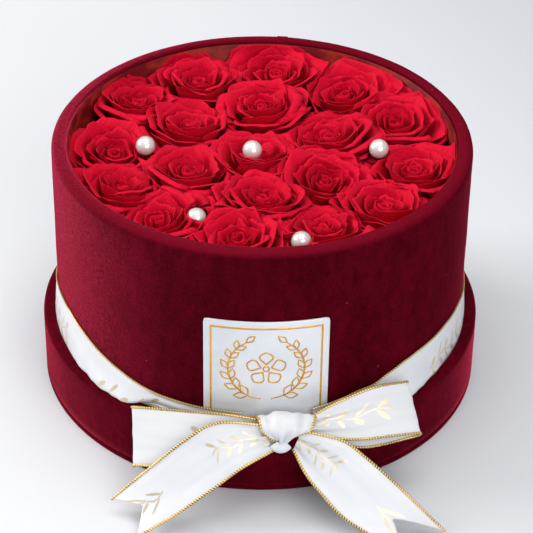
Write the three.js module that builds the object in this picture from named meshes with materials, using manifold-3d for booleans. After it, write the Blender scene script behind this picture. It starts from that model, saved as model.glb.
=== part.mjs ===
// A round velvet hat box of preserved roses, standing in its own upturned lid, with a
// ribbon and bow round it. Millimetres, +Z up, the label and the bow face -Y. The origin
// is the centre of the lid's underside, where it meets the table.

import * as THREE from 'three';
import { mergeVertices } from 'three/addons/utils/BufferGeometryUtils.js';
import Module from 'manifold-3d';

const wasm = await Module();
wasm.setup();

// Driving dimensions
const GAP = 0.3; // between pieces that touch
const SIDES = 48; // of every ring and disc
const BOX_R = 110; // outside of the box's velvet
const BOX_TOP = 141; // top of its rim
const LID_R = 118.4; // outside of the lid's velvet
const LID_TOP = 37; // top of the upturned lid's rim
const LID_WALL = 6.6; // lid wall, velvet to velvet
const DISC_EDGE = 2.8; // height of the lid disc's covered edge, below the groove
const VELVET = 1.1;
const BOARD = 5.1; // wall board of the box
const BASE_BOARD = 2.5;
const LINING = 0.6;
const TURN_IN = 14; // velvet folded over the rim and down the inside
const FOAM_TOP = 91;
const ROSE_TOP = 137;
const ROSE_R = 22.5; // a head that nothing squeezes
const STEM_R = 2.6;
const STEM_FOOT = 66;
const ROSES = [
  [-2.5, -3], [-40, 27], [1, 46], [37, 17], [31, -24], [-1, -46], [-39, -22],
  [-69, 50], [-36, 72.5], [7, 82], [46, 63.5], [71, 35], [79.5, -15], [61, -50],
  [31, -73], [-11, -79.5], [-50, -63], [-73, -36], [-80, 1],
]; // the middle of each rose: one, a ring of six and a ring of twelve
const PEARL_R = 5.3;
const PIN_R = 0.6;
const PIN_FOOT = 74;
const RIBBON = 27; // satin with both gold edges
const RIBBON_T = 0.7;
const LABEL = 63;
const LABEL_T = 1.1;

// Pearl pins: degrees from the front, radius and height of the pearl's centre.
const PEARLS = [
  { turn: -52, radius: 6.6, height: 134.5 },
  { turn: -88, radius: 61, height: 135 },
  { turn: 88.5, radius: 61, height: 135 },
  { turn: -159, radius: 55.5, height: 129 },
  { turn: -27, radius: 71, height: 131 },
  { turn: 13.5, radius: 86.5, height: 132 },
];

const material = (color, roughness, metalness = 0) =>
  new THREE.MeshStandardMaterial({ color, roughness, metalness });
const velvet = material(0x6e0019, 0.95);
const velvetDark = material(0x4b000c, 0.95);
const liningPaper = material(0x96301a, 0.6);
const board = material(0xb79a76, 0.9);
const foam = material(0x2f5a3c, 1);
const petal = material(0xd71428, 0.7);
const petalDeep = material(0xb80a20, 0.7);
const pearl = material(0xf4efe9, 0.2);
const steel = material(0xc8c8cc, 0.3, 1);
const satin = material(0xebebf0, 0.35);
const card = material(0xd7dadf, 0.5);

const part = new THREE.Group();

/** Six times the signed volume of a mesh: negative where its faces point in. */
function signedVolume(geometry) {
  const flat = geometry.index ? geometry.toNonIndexed() : geometry;
  const at = flat.attributes.position;
  const [a, b, c] = [new THREE.Vector3(), new THREE.Vector3(), new THREE.Vector3()];
  let sum = 0;
  for (let i = 0; i < at.count; i += 3) {
    a.fromBufferAttribute(at, i);
    b.fromBufferAttribute(at, i + 1);
    c.fromBufferAttribute(at, i + 2);
    sum += a.dot(b.cross(c));
  }
  return sum;
}

/** Merge shared vertices, and turn the faces out where they point in. */
function closed(geometry) {
  geometry.deleteAttribute('normal');
  geometry.deleteAttribute('uv');
  const merged = mergeVertices(geometry, 1e-4);
  if (signedVolume(merged) < 0) {
    const { array } = merged.index;
    for (let i = 0; i < array.length; i += 3) [array[i], array[i + 1]] = [array[i + 1], array[i]];
  }
  merged.computeVertexNormals();
  return merged;
}

function add(name, geometry, look) {
  const mesh = new THREE.Mesh(geometry, look);
  mesh.name = name;
  part.add(mesh);
}

const manifoldOf = (geometry) => new wasm.Manifold(new wasm.Mesh({
  numProp: 3,
  vertProperties: new Float32Array(geometry.attributes.position.array),
  triVerts: new Uint32Array(geometry.index.array),
}));

/** Cut every tool from a body, and give the result back as a geometry. */
function cut(geometry, tools) {
  let solid = manifoldOf(geometry);
  for (const tool of tools) solid = solid.subtract(manifoldOf(tool));
  const { vertProperties, triVerts } = solid.getMesh();
  const result = new THREE.BufferGeometry();
  result.setAttribute('position', new THREE.BufferAttribute(vertProperties, 3));
  result.setIndex(new THREE.BufferAttribute(triVerts, 1));
  result.computeVertexNormals();
  return result;
}

/** Turn an outline of [radius, height] points round +Z. */
function turned(outline, sides = SIDES) {
  const points = outline.map(([radius, height]) => new THREE.Vector2(radius, height));
  const geometry = new THREE.LatheGeometry(points, sides);
  geometry.rotateX(Math.PI / 2);
  return geometry;
}

const ring = (outline) => closed(turned([...outline, outline[0]]));
const tube = (inner, outer, low, high) =>
  ring([[inner, low], [outer, low], [outer, high], [inner, high]]);
const disc = (radius, low, high, sides) =>
  closed(turned([[0, low], [radius, low], [radius, high], [0, high]], sides));

/** A point at a radius and height, turned in degrees from the front, positive to +X. */
function place(turn, radius, height = 0) {
  const angle = THREE.MathUtils.degToRad(turn);
  return new THREE.Vector3(radius * Math.sin(angle), -radius * Math.cos(angle), height);
}

// The lid, upside down under the box

const lidFloor = DISC_EDGE + GAP;
const boxFoot = lidFloor + LINING + GAP;

function buildLid() {
  const inside = LID_R - LID_WALL;
  add('lid_disc_velvet', closed(turned([
    [0, 0], [LID_R - 0.6, 0], [LID_R, 0.6], [LID_R, DISC_EDGE], [LID_R - VELVET, DISC_EDGE],
    [LID_R - VELVET, VELVET], [0, VELVET],
  ])), velvetDark);
  add('lid_disc_board', disc(LID_R - VELVET - GAP, VELVET + GAP, DISC_EDGE), board);
  add('lid_wall_velvet', ring([
    [LID_R - VELVET, lidFloor], [LID_R, lidFloor], [LID_R, LID_TOP - 1.8], [LID_R - 1.8, LID_TOP], [inside + 1.8, LID_TOP],
    [inside, LID_TOP - 1.8],
    [inside, lidFloor], [inside + VELVET, lidFloor], [inside + VELVET, LID_TOP - 2.4],
    [LID_R - VELVET, LID_TOP - 2.4],
  ]), velvet);
  const [low, high] = [lidFloor, LID_TOP - 2.4 - GAP];
  add('lid_wall_board', tube(inside + VELVET + GAP, LID_R - VELVET - GAP, low, high), board);
  add('lid_lining', disc(inside - GAP, lidFloor, lidFloor + LINING), liningPaper);
}

// The box

const boardOuter = BOX_R - VELVET - GAP;
const boardInner = boardOuter - BOARD;
const turnInOuter = boardInner - GAP;
const turnInInner = turnInOuter - VELVET;
const liningOuter = turnInInner - GAP;
const liningInner = liningOuter - LINING;
const foamFoot = boxFoot + BASE_BOARD + GAP;

function buildBox() {
  add('box_base_board', disc(boardOuter, boxFoot, boxFoot + BASE_BOARD), board);
  add('box_wall_board', tube(boardInner, boardOuter, foamFoot, BOX_TOP - 2 - GAP), board);
  add('box_velvet', ring([
    [BOX_R - VELVET, boxFoot], [BOX_R, boxFoot], [BOX_R, BOX_TOP - 3.6],
    [BOX_R - 0.9, BOX_TOP - 1.2], [BOX_R - 3, BOX_TOP], [turnInInner + 1.5, BOX_TOP],
    [turnInInner + 0.4, BOX_TOP - 0.4], [turnInInner, BOX_TOP - 1.5],
    [turnInInner, BOX_TOP - TURN_IN], [turnInOuter, BOX_TOP - TURN_IN],
    [turnInOuter, BOX_TOP - 2], [BOX_R - VELVET, BOX_TOP - 2],
  ]), velvet);
  add('box_lining', tube(liningInner, liningOuter, foamFoot, BOX_TOP - 1.8), liningPaper);
}

// The roses and pearl pins, in the foam

const centres = ROSES.map(([x, y]) => new THREE.Vector3(x, y, 0));

/** How far a head may reach in a direction, up to halfway to its neighbours and the lining. */
function reach(centre, angle) {
  const way = new THREE.Vector3(Math.cos(angle), Math.sin(angle), 0);
  const along = centre.dot(way);
  const wall = liningInner - 2 * GAP;
  let limit = Math.sqrt(along ** 2 + wall ** 2 - centre.lengthSq()) - along;
  for (const other of centres) {
    const apart = other.clone().sub(centre);
    const facing = apart.dot(way) / (apart.length() || 1);
    if (facing > 0.2) limit = Math.min(limit, (apart.length() / 2 - GAP) / facing);
  }
  return Math.min(limit, ROSE_R);
}

/** One rose: a short stem, the calyx and a head squeezed between its neighbours. */
function rose(centre) {
  const outline = [
    [0, STEM_FOOT], [STEM_R, STEM_FOOT + 2], [STEM_R, FOAM_TOP + 2], [9, FOAM_TOP + 5],
    [18, FOAM_TOP + 17], [ROSE_R, FOAM_TOP + 31], [ROSE_R - 2, ROSE_TOP - 3],
    [13, ROSE_TOP], [0, ROSE_TOP - 1],
  ];
  const geometry = turned(outline, 16);
  const at = geometry.attributes.position;
  for (let i = 0; i < at.count; i += 1) {
    const [x, y] = [at.getX(i), at.getY(i)];
    const radius = Math.hypot(x, y);
    const angle = Math.atan2(y, x);
    const kept = radius * Math.min(1, reach(centre, angle) / ROSE_R);
    const held = radius > STEM_R + 1 ? kept : radius;
    at.setXY(i, centre.x + held * Math.cos(angle), centre.y + held * Math.sin(angle));
  }
  return closed(geometry);
}

/** A round bar along +Z, as a pin or the drill for its hole. */
function bar(centre, radius, low, high, sides = 8) {
  return disc(radius, low, high, sides).translate(centre.x, centre.y, 0);
}

function ball(centre, radius) {
  return closed(new THREE.SphereGeometry(radius, 12, 7).translate(centre.x, centre.y, centre.z));
}

function buildFlowers() {
  const pearls = PEARLS.map(({ turn, radius, height }) => place(turn, radius, height));
  const pinTop = ({ z }) => z - PEARL_R - GAP;
  const drills = pearls.flatMap((at) => [
    ball(at, PEARL_R + 2 * GAP), bar(at, PIN_R + GAP, PIN_FOOT - GAP, at.z)]);
  centres.forEach((centre, i) => {
    const name = `rose_${String(i + 1).padStart(2, '0')}`;
    add(name, cut(rose(centre), drills), i % 3 ? petal : petalDeep);
  });
  pearls.forEach((at, i) => {
    add(`pearl_${i + 1}`, ball(at, PEARL_R), pearl);
    add(`pearl_pin_${i + 1}`, bar(at, PIN_R, PIN_FOOT, pinTop(at), 6), steel);
  });
  const stemHoles = centres.map((centre) =>
    bar(centre, STEM_R + 2 * GAP, STEM_FOOT - GAP, FOAM_TOP + 1, 10));
  const pinHoles = pearls.map((at) =>
    bar(at, PIN_R + 2 * GAP, PIN_FOOT - GAP, FOAM_TOP + 1, 6));
  const block = disc(liningInner - GAP, foamFoot, FOAM_TOP);
  add('foam_disc', cut(block, [...stemHoles, ...pinHoles]), foam);
}

// The label card, bent to the wall

/** Bend a flat plate, drawn in X and Z with its depth along -Y, round +Z at a radius. */
function bend(geometry, radius, turn) {
  const at = geometry.attributes.position;
  for (let i = 0; i < at.count; i += 1) {
    const out = radius - at.getY(i);
    const point = place(turn + THREE.MathUtils.radToDeg(at.getX(i) / radius), out, at.getZ(i));
    at.setXYZ(i, point.x, point.y, point.z);
  }
  return closed(geometry);
}

function buildLabel() {
  const plate = new THREE.BoxGeometry(LABEL, LABEL_T, LABEL, 12, 1, 1);
  plate.translate(0, -LABEL_T / 2, 70.5);
  add('label_card', bend(plate, BOX_R + GAP, 2), card);
}

// The ribbon: every piece is a strip ruled between its upper and lower edge

/**
 * A strip between two edges, each a list of points, with the same number in both.
 * notch is how deep the far end is cut to a swallowtail, as a share of the length.
 */
function strip(upper, lower, steps, notch = 0) {
  const curve = (list) => new THREE.CatmullRomCurve3(
    list.map((point) => new THREE.Vector3(...point)), false, 'centripetal');
  const [top, bottom] = [curve(upper), curve(lower)];
  const geometry = new THREE.BoxGeometry(1, 1, 1, 2, steps, 1);
  const at = geometry.attributes.position;
  for (let i = 0; i < at.count; i += 1) {
    const across = at.getX(i) + 0.5;
    const full = at.getY(i) + 0.5;
    const along = full * (1 - notch * (1 - Math.abs(2 * across - 1)));
    const [a, b] = [top.getPoint(along), bottom.getPoint(along)];
    const way = top.getTangent(along).add(bottom.getTangent(along));
    const out = way.cross(b.clone().sub(a)).normalize();
    const point = a.lerp(b, across).addScaledVector(out, at.getZ(i) * RIBBON_T);
    at.setXYZ(i, point.x, point.y, point.z);
  }
  return closed(geometry);
}

const KNOT = { x: 14.3, y: -122, z: 44.4, half: [14, 9, 9] };

function knotBody(grown) {
  const [a, b, c] = KNOT.half.map((half) => half + grown);
  return closed(new THREE.SphereGeometry(1, 16, 10).rotateY(Math.PI / 2)
    .scale(a, b, c).translate(KNOT.x, KNOT.y, KNOT.z));
}

/** Heights of the band's upper edge at turns from the front. */
const BAND_TOPS = [
  [-180, 55], [-98, 55], [-86, 57.5], [-78, 61], [-72, 62], [-64, 62], [-56, 59], [-48, 55], [-40, 51.5],
  [-32, 48], [32, 52], [36, 55], [42, 58], [48, 59.2], [62, 60.5], [72, 60], [80, 57.5],
  [95, 55], [180, 55]];

function bandTop(turn) {
  const next = BAND_TOPS.findIndex(([at], i) => i > 0 && at >= turn);
  const [[from, low], [to, high]] = [BAND_TOPS[next - 1], BAND_TOPS[next]];
  return low + (high - low) * (turn - from) / (to - from);
}

/** The band: round the box inside the lid's rim, and out over it to the knot. */
function band() {
  const fromKnot = [
    [14, 114, 48.5, 39.4], [21, 112.6, 50, 38.8], [27, 111.3, 51.5, 38.4], [33, 110.9, 53, 31]];
  const toKnot = [
    [-33, 110.9, 48, 31], [-27, 111.3, 47, 38.4], [-16, 112.6, 47, 38.8], [-4, 114, 47.5, 39.4]];
  const round = [];
  for (let turn = 39; turn <= 321; turn += 7.05) {
    const top = bandTop(turn > 180 ? turn - 360 : turn);
    round.push([turn, BOX_R + 2.5 * GAP, top, top - RIBBON]);
  }
  const stations = [...fromKnot, ...round, ...toKnot];
  const edge = (pick) => stations.map((row) => place(row[0], row[1], row[pick]).toArray());
  return strip(edge(2), edge(3), 72);
}

const LEFT_LOOP = {
  upper: [[2, -117.5, 46], [-14, -117.5, 49], [-32, -114.5, 48.5], [-60, -105.5, 43.5],
    [-63.5, -103.5, 42], [-60, -102.5, 41], [-32, -111, 45], [-10, -115, 46]],
  lower: [[2, -121, 37], [-14, -128, 34], [-30, -133, 26.5], [-59, -124, 20],
    [-62.5, -121.5, 17.5], [-59, -119.5, 16.5], [-30, -128, 22], [-10, -122, 34]],
};
const RIGHT_LOOP = {
  upper: [[27, -116.5, 48], [38, -112.5, 53], [57, -104, 57], [72.5, -97.5, 56],
    [75.5, -94, 53.5], [72, -92, 51], [56, -100, 50.5], [37, -109.5, 48]],
  lower: [[24, -123, 42], [36, -123.5, 40], [52, -121.5, 37.5], [79, -114.5, 36],
    [82.5, -111.5, 33], [78, -110.5, 30], [54, -119.5, 30.5], [36, -120, 35.5]],
};
const LEFT_TAIL = {
  upper: [[6, -123, 47], [-20, -124, 49], [-37, -129, 41], [-57, -133, 23.5], [-73, -136, 8]],
  lower: [[10, -128, 36], [-7, -138, 31.5], [-21, -144, 23], [-41, -151, 10.5],
    [-60, -158, 2]],
};
const RIGHT_TAIL = {
  upper: [[22, -126, 46], [42, -128.5, 43], [54, -132, 35.5], [69, -138, 24], [95, -149, 2]],
  lower: [[18, -128, 36], [24, -136, 27], [33, -144, 19], [46, -152, 9.5], [74, -166, 1.6]],
};

function buildRibbon() {
  add('bow_knot', knotBody(0), satin);
  const socket = [knotBody(GAP)];
  add('ribbon_band', cut(band(), socket), satin);
  add('bow_left_loop', cut(strip(LEFT_LOOP.upper, LEFT_LOOP.lower, 26), socket), satin);
  add('bow_right_loop', cut(strip(RIGHT_LOOP.upper, RIGHT_LOOP.lower, 26), socket), satin);
  add('bow_left_tail', cut(strip(LEFT_TAIL.upper, LEFT_TAIL.lower, 12, 0.14), socket), satin);
  add('bow_right_tail', cut(strip(RIGHT_TAIL.upper, RIGHT_TAIL.lower, 12, 0.14), socket), satin);
}

buildLid();
buildBox();
buildFlowers();
buildLabel();
buildRibbon();

export default part;
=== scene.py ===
"""Looks of a round velvet flower box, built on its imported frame: metres, +Z up, bow to -Y."""

from __future__ import annotations

import logging
import math
import random
from dataclasses import dataclass, field
from enum import Enum
from typing import Callable, Iterable, Sequence

import bmesh
import bpy
from mathutils import Matrix, Vector, noise

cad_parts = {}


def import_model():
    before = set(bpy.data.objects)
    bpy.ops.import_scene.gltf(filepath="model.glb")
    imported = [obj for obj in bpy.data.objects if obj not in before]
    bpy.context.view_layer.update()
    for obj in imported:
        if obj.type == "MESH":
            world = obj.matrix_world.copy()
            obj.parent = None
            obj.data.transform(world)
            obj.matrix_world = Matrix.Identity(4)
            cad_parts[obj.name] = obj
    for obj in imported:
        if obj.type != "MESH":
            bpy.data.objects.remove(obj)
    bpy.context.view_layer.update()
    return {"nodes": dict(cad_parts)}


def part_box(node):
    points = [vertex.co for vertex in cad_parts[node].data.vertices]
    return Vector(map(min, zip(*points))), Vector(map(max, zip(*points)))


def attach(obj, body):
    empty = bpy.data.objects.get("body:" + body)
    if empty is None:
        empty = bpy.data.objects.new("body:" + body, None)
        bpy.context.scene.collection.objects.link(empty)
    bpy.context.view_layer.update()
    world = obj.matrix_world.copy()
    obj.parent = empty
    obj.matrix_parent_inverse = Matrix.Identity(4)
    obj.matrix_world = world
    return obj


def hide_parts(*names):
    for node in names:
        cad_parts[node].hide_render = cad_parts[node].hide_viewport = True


LOG = logging.getLogger("flower_box")
MM = 0.001
FULL_TURN = math.tau

Colour = tuple[float, float, float, float]
Point = Sequence[float]


class Body(Enum):
    """The two bodies that the joint moves apart."""

    LID = "lid"
    BOX = "box"


# Small tools


def ease(low: float, high: float, value: float) -> float:
    """Return 0 below low, 1 above high, and a smooth step between them."""
    share = min(1.0, max(0.0, (value - low) / (high - low)))
    return share * share * (3 - 2 * share)


def around(turn: float, radius: float, height: float = 0.0) -> Vector:
    """Return a point at a turn in degrees from the front, positive to +X."""
    angle = math.radians(turn)
    return Vector((radius * math.sin(angle), -radius * math.cos(angle), height))


def spline(points: Sequence[Vector], share: float) -> Vector:
    """Return the point at a share of the way along a smooth curve through points.

    Args:
        points: the stations that the curve passes through.
        share: 0 at the first station and 1 at the last.

    Returns:
        The point on the Catmull-Rom curve.
    """
    last = len(points) - 1
    place = min(max(share, 0.0), 1.0) * last
    i = min(int(place), last - 1)
    t = place - i
    b, c = points[i], points[i + 1]
    a = points[i - 1] if i > 0 else 2 * b - c
    d = points[i + 2] if i + 2 <= last else 2 * c - b
    return 0.5 * (2 * b + (c - a) * t + (2 * a - 5 * b + 4 * c - d) * t**2
                  + (3 * b - a - 3 * c + d) * t**3)


def shade_smooth(mesh: bpy.types.Mesh) -> None:
    """Smooth-shade every face of a mesh."""
    mesh.polygons.foreach_set("use_smooth", [True] * len(mesh.polygons))
    mesh.update()


def as_piece(bm: bmesh.types.BMesh, name: str, finish: bpy.types.Material) -> bpy.types.Object:
    """Turn a bmesh drawn in millimetres into a linked object in metres.

    Args:
        bm: the shape, which is freed here.
        name: the piece's name.
        finish: its first material.

    Returns:
        The new object, at the origin.
    """
    bmesh.ops.scale(bm, vec=(MM, MM, MM), verts=bm.verts)
    mesh = bpy.data.meshes.new(name)
    bm.to_mesh(mesh)
    bm.free()
    shade_smooth(mesh)
    mesh.materials.append(finish)
    piece = bpy.data.objects.new(name, mesh)
    bpy.context.scene.collection.objects.link(piece)
    return piece


def thicken(piece: bpy.types.Object, thickness: float, offset: float = 0.0) -> None:
    """Give a sheet a thickness in millimetres with a Solidify modifier."""
    wall = piece.modifiers.new("thickness", "SOLIDIFY")
    wall.thickness = thickness * MM
    wall.offset = offset
    wall.use_even_offset = False


def spun(outline: Iterable[Point], steps: int, closed: bool) -> bmesh.types.BMesh:
    """Spin an outline of (radius, height) points a full turn round +Z.

    Args:
        outline: the points in millimetres.
        steps: faces round the turn.
        closed: whether the last point joins the first.

    Returns:
        A bmesh in millimetres with its normals outwards.
    """
    bm = bmesh.new()
    verts = [bm.verts.new((radius, 0, height)) for radius, height in outline]
    pairs = list(zip(verts, verts[1:]))
    if closed:
        pairs.append((verts[-1], verts[0]))
    edges = [bm.edges.new(pair) for pair in pairs]
    bmesh.ops.spin(bm, geom=verts + edges, cent=(0, 0, 0), axis=(0, 0, 1),
                   angle=FULL_TURN, steps=steps, use_merge=True)
    bmesh.ops.remove_doubles(bm, verts=bm.verts, dist=1e-4)
    bmesh.ops.recalc_face_normals(bm, faces=bm.faces)
    return bm


def lay_map(bm: bmesh.types.BMesh, name: str,
            place: Callable[[float, float], tuple[float, float]]) -> None:
    """Give a flat grid a map, before its points are moved.

    Args:
        bm: a grid from -1 to 1 both ways.
        name: the map's name.
        place: gives a point of the map from a point of the grid.
    """
    laid = bm.loops.layers.uv.new(name)
    for face in bm.faces:
        for loop in face.loops:
            loop[laid].uv = place(loop.vert.co.x, loop.vert.co.y)


def arc(centre: Point, radius: float, start: float, end: float, steps: int) -> list[Point]:
    """Return points on an arc of an outline, with its angles in degrees."""
    turns = (math.radians(start + (end - start) * i / steps) for i in range(steps + 1))
    return [(centre[0] + radius * math.cos(a), centre[1] + radius * math.sin(a)) for a in turns]


# Finishes


class Graph:
    """A material's node tree, with short calls to add and join nodes."""

    def __init__(self, name: str) -> None:
        """Start a material that holds one Principled shader."""
        self.material = bpy.data.materials.new(name)
        self.material.use_nodes = True
        self.tree = self.material.node_tree
        self.shader = self.tree.nodes["Principled BSDF"]

    def node(self, kind: str, inputs: dict | None = None, **settings) -> bpy.types.Node:
        """Add a node.

        Args:
            kind: the node's type, without the ShaderNode that it starts with.
            inputs: a value or an output socket for each named or numbered input.
            settings: attributes of the node.

        Returns:
            The node.
        """
        made = self.tree.nodes.new("ShaderNode" + kind)
        for key, value in settings.items():
            setattr(made, key, value)
        for key, value in (inputs or {}).items():
            self.feed(made.inputs[key], value)
        return made

    def feed(self, socket: bpy.types.NodeSocket, value) -> None:
        """Link an output into a socket, or set the socket's own value."""
        if isinstance(value, bpy.types.NodeSocket):
            self.tree.links.new(value, socket)
        else:
            socket.default_value = value

    def shade(self, **inputs) -> None:
        """Feed the shader's sockets, named with underscores for spaces."""
        for key, value in inputs.items():
            self.feed(self.shader.inputs[key.replace("_", " ")], value)

    def maths(self, operation: str, *values, clamp: bool = False) -> bpy.types.NodeSocket:
        """Return the output of a Math node on one to three values."""
        made = self.node("Math", dict(enumerate(values)), operation=operation, use_clamp=clamp)
        return made.outputs[0]

    def where(self) -> bpy.types.NodeSocket:
        """Return the piece's own coordinates, in metres."""
        return self.node("TexCoord").outputs["Object"]

    def stretched(self, vector: bpy.types.NodeSocket, scale: Point) -> bpy.types.NodeSocket:
        """Return a vector scaled on each axis."""
        return self.node("Mapping", {"Vector": vector, "Scale": tuple(scale)}).outputs[0]

    def grain(self, vector: bpy.types.NodeSocket, scale: float, detail: float = 3,
              roughness: float = 0.55) -> bpy.types.NodeSocket:
        """Return a noise between 0 and 1."""
        made = self.node("TexNoise", {
            "Vector": vector, "Scale": scale, "Detail": detail, "Roughness": roughness})
        return made.outputs["Fac"]

    def remap(self, value, low: float, high: float, to_low: float,
              to_high: float) -> bpy.types.NodeSocket:
        """Return a value moved smoothly from one range to another."""
        made = self.node("MapRange", {
            "Value": value, "From Min": low, "From Max": high, "To Min": to_low,
            "To Max": to_high}, interpolation_type="SMOOTHSTEP")
        return made.outputs["Result"]

    def blend(self, share, first, second) -> bpy.types.NodeSocket:
        """Return a mix of two colours."""
        made = self.node("Mix", data_type="RGBA")
        for socket, value in zip((made.inputs[0], made.inputs[6], made.inputs[7]),
                                 (share, first, second)):
            self.feed(socket, value)
        return made.outputs[2]

    def bump(self, height, strength: float, distance: float,
             under: bpy.types.NodeSocket | None = None) -> bpy.types.NodeSocket:
        """Return a normal raised by a height, in metres, over another normal."""
        inputs = {"Height": height, "Strength": strength, "Distance": distance}
        if under is not None:
            inputs["Normal"] = under
        return self.node("Bump", inputs).outputs[0]


@dataclass(frozen=True)
class VelvetFinish:
    """Cotton velvet: a dark ground, a nap that leans one way round, some lint, and a painted sheen
    on the rim's top.
    """

    name: str = "burgundy_velvet"
    ground: Colour = (0.040, 0.0003, 0.0025, 1)
    brushed: Colour = (0.128, 0.0020, 0.011, 1)
    lint: Colour = (0.50, 0.20, 0.22, 1)
    nap: Colour = (1.0, 0.06, 0.14, 1)
    nap_weight: float = 1.0
    nap_lean: float = -0.30
    # rim: a brighter crimson painted on the rim's top, a painted sheen for the light that the
    # rounded pile catches there; it fades in between the two heights below, in metres.
    rim: Colour = (0.15, 0.003, 0.012, 1)
    sheen_rim_from: float = 0.1380
    sheen_rim_to: float = 0.1408

    def leaning(self, g: Graph, here: bpy.types.NodeSocket) -> bpy.types.NodeSocket:
        """Return the normal, tipped round the box the way that the nap lies."""
        flat = g.node("NewGeometry").outputs["Normal"]
        level = g.node("VectorMath", {0: here, 1: (1, 1, 0)}, operation="MULTIPLY").outputs[0]
        out = g.node("VectorMath", {0: level}, operation="NORMALIZE").outputs[0]
        along = g.node("VectorMath", {0: (0, 0, 1), 1: out}, operation="CROSS_PRODUCT")
        lean = g.node("VectorMath", {0: along.outputs[0], "Scale": self.nap_lean},
                      operation="SCALE")
        tipped = g.node("VectorMath", {0: flat, 1: lean.outputs[0]}, operation="ADD")
        return g.node("VectorMath", {0: tipped.outputs[0]}, operation="NORMALIZE").outputs[0]

    def fibres(self, g: Graph, here: bpy.types.NodeSocket) -> bpy.types.NodeSocket:
        """Return 1 on a few short pale fibres that cling to the pile."""
        swirl = g.grain(here, 60, 2)
        bent = g.node("VectorMath", {0: here, 1: g.node("CombineXYZ", {0: g.maths(
            "MULTIPLY", swirl, 0.004), 2: g.maths("MULTIPLY", swirl, -0.003)}).outputs[0]},
            operation="ADD").outputs[0]
        cells = g.node("TexVoronoi", {"Vector": g.stretched(bent, (190, 190, 42)), "Scale": 1.0})
        chosen = g.remap(g.node("SeparateColor", {0: cells.outputs["Color"]}).outputs[0],
                         0.955, 0.965, 0, 1)
        near = g.remap(cells.outputs["Distance"], 0.03, 0.09, 1, 0)
        return g.maths("MULTIPLY", chosen, near)

    def build(self) -> bpy.types.Material:
        """Return the material."""
        g = Graph(self.name)
        here = g.where()
        pile = g.grain(here, 820, 4, 0.8)
        strokes = g.grain(g.stretched(here, (34, 34, 13)), 1.0, 4, 0.6)
        patch = g.grain(g.stretched(here, (190, 190, 110)), 1.0, 3)
        broad = g.maths("MULTIPLY_ADD", strokes, 0.26, g.maths("MULTIPLY", patch, 0.24))
        share = g.maths("MULTIPLY_ADD", pile, 0.42, broad)
        cloth = g.blend(g.remap(share, 0.30, 0.66, 0, 1), self.ground, self.brushed)
        # Painted sheen: above those heights the cloth turns to the brighter rim colour, flecked by
        # the pile.
        height = g.node("SeparateXYZ", {0: here}).outputs[2]
        over = g.maths("MULTIPLY", g.remap(height, self.sheen_rim_from, self.sheen_rim_to, 0, 0.9),
                       g.remap(pile, 0.25, 0.65, 0.6, 1.0))
        cloth = g.blend(over, cloth, self.rim)
        specks = g.node("TexVoronoi", {"Vector": here, "Scale": 230.0})
        chosen = g.remap(g.node("SeparateColor", {0: specks.outputs["Color"]}).outputs[0],
                         0.90, 0.92, 0, 1)
        dots = g.maths("MULTIPLY", chosen, g.remap(specks.outputs["Distance"], 0.05, 0.10, 1, 0))
        fluff = g.maths("MAXIMUM", g.maths("MULTIPLY", dots, 0.42),
                        g.maths("MULTIPLY", self.fibres(g, here), 0.34))
        cloth = g.blend(fluff, cloth, self.lint)
        normal = g.bump(patch, 0.06, 0.0016, self.leaning(g, here))
        normal = g.bump(pile, 0.5, 0.0005, normal)
        weight = g.remap(pile, 0.30, 0.70, 0.45 * self.nap_weight, 1.50 * self.nap_weight)
        g.shade(Base_Color=cloth, Roughness=g.remap(pile, 0.3, 0.7, 0.72, 0.92), Normal=normal,
                Sheen_Weight=weight, Sheen_Roughness=0.28, Sheen_Tint=self.nap,
                Specular_IOR_Level=0.01)
        return g.material


@dataclass(frozen=True)
class PetalFinish:
    """Preserved rose petal: velvety red with fine veins, a saturated red towards its foot painted
    as the shade in the depths of the cup, and a painted highlight on its lip.
    """

    name: str = "preserved_petal"
    # deep: a fully saturated red, the painted shade of the cup's depths towards each petal's foot;
    # the veins and the mottle are drawn in it too.
    deep: Colour = (0.64, 0.0, 0.018, 1)
    face: Colour = (0.59, 0.002, 0.026, 1)
    # The lip colour: a slightly lighter, pinker red, a painted highlight along each petal's lip.
    lip_highlight: Colour = (0.58, 0.008, 0.034, 1)

    def build(self) -> bpy.types.Material:
        """Return the material."""
        g = Graph(self.name)
        here = g.where()
        up = g.node("Attribute", attribute_name="petal_height").outputs["Fac"]
        across = g.node("UVMap", uv_map="petal").outputs[0]
        veins = g.grain(g.stretched(across, (58, 3.2, 1)), 1.0, 4, 0.7)
        folds = g.grain(g.stretched(across, (15, 1.6, 1)), 1.0, 3, 0.6)
        mottle = g.grain(here, 170, 3)
        # Painted shade: towards the foot, by the petal's height share, the colour turns to deep.
        colour = g.blend(g.remap(up, 0.30, 0.80, 0, 1), self.deep, self.face)
        # Painted highlight: near the top of the height share the lip colour is mixed in.
        colour = g.blend(g.remap(up, 0.90, 1.02, 0, 0.6), colour, self.lip_highlight)
        colour = g.blend(g.remap(veins, 0.35, 0.62, 0.34, 0.0), colour, self.deep)
        colour = g.blend(g.remap(mottle, 0.35, 0.62, 0.22, 0.0), colour, self.deep)
        ridge = g.maths("ABSOLUTE", g.maths("SUBTRACT", folds, 0.5))
        normal = g.bump(mottle, 0.30, 0.0010)
        normal = g.bump(ridge, 0.65, 0.0022, normal)
        normal = g.bump(veins, 0.60, 0.0007, normal)
        g.shade(Base_Color=colour, Roughness=g.remap(mottle, 0.3, 0.7, 0.50, 0.68),
                Normal=normal, Sheen_Weight=0.05, Sheen_Roughness=0.5,
                Sheen_Tint=(1.0, 0.30, 0.38, 1), Specular_IOR_Level=0.07)
        return g.material


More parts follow.
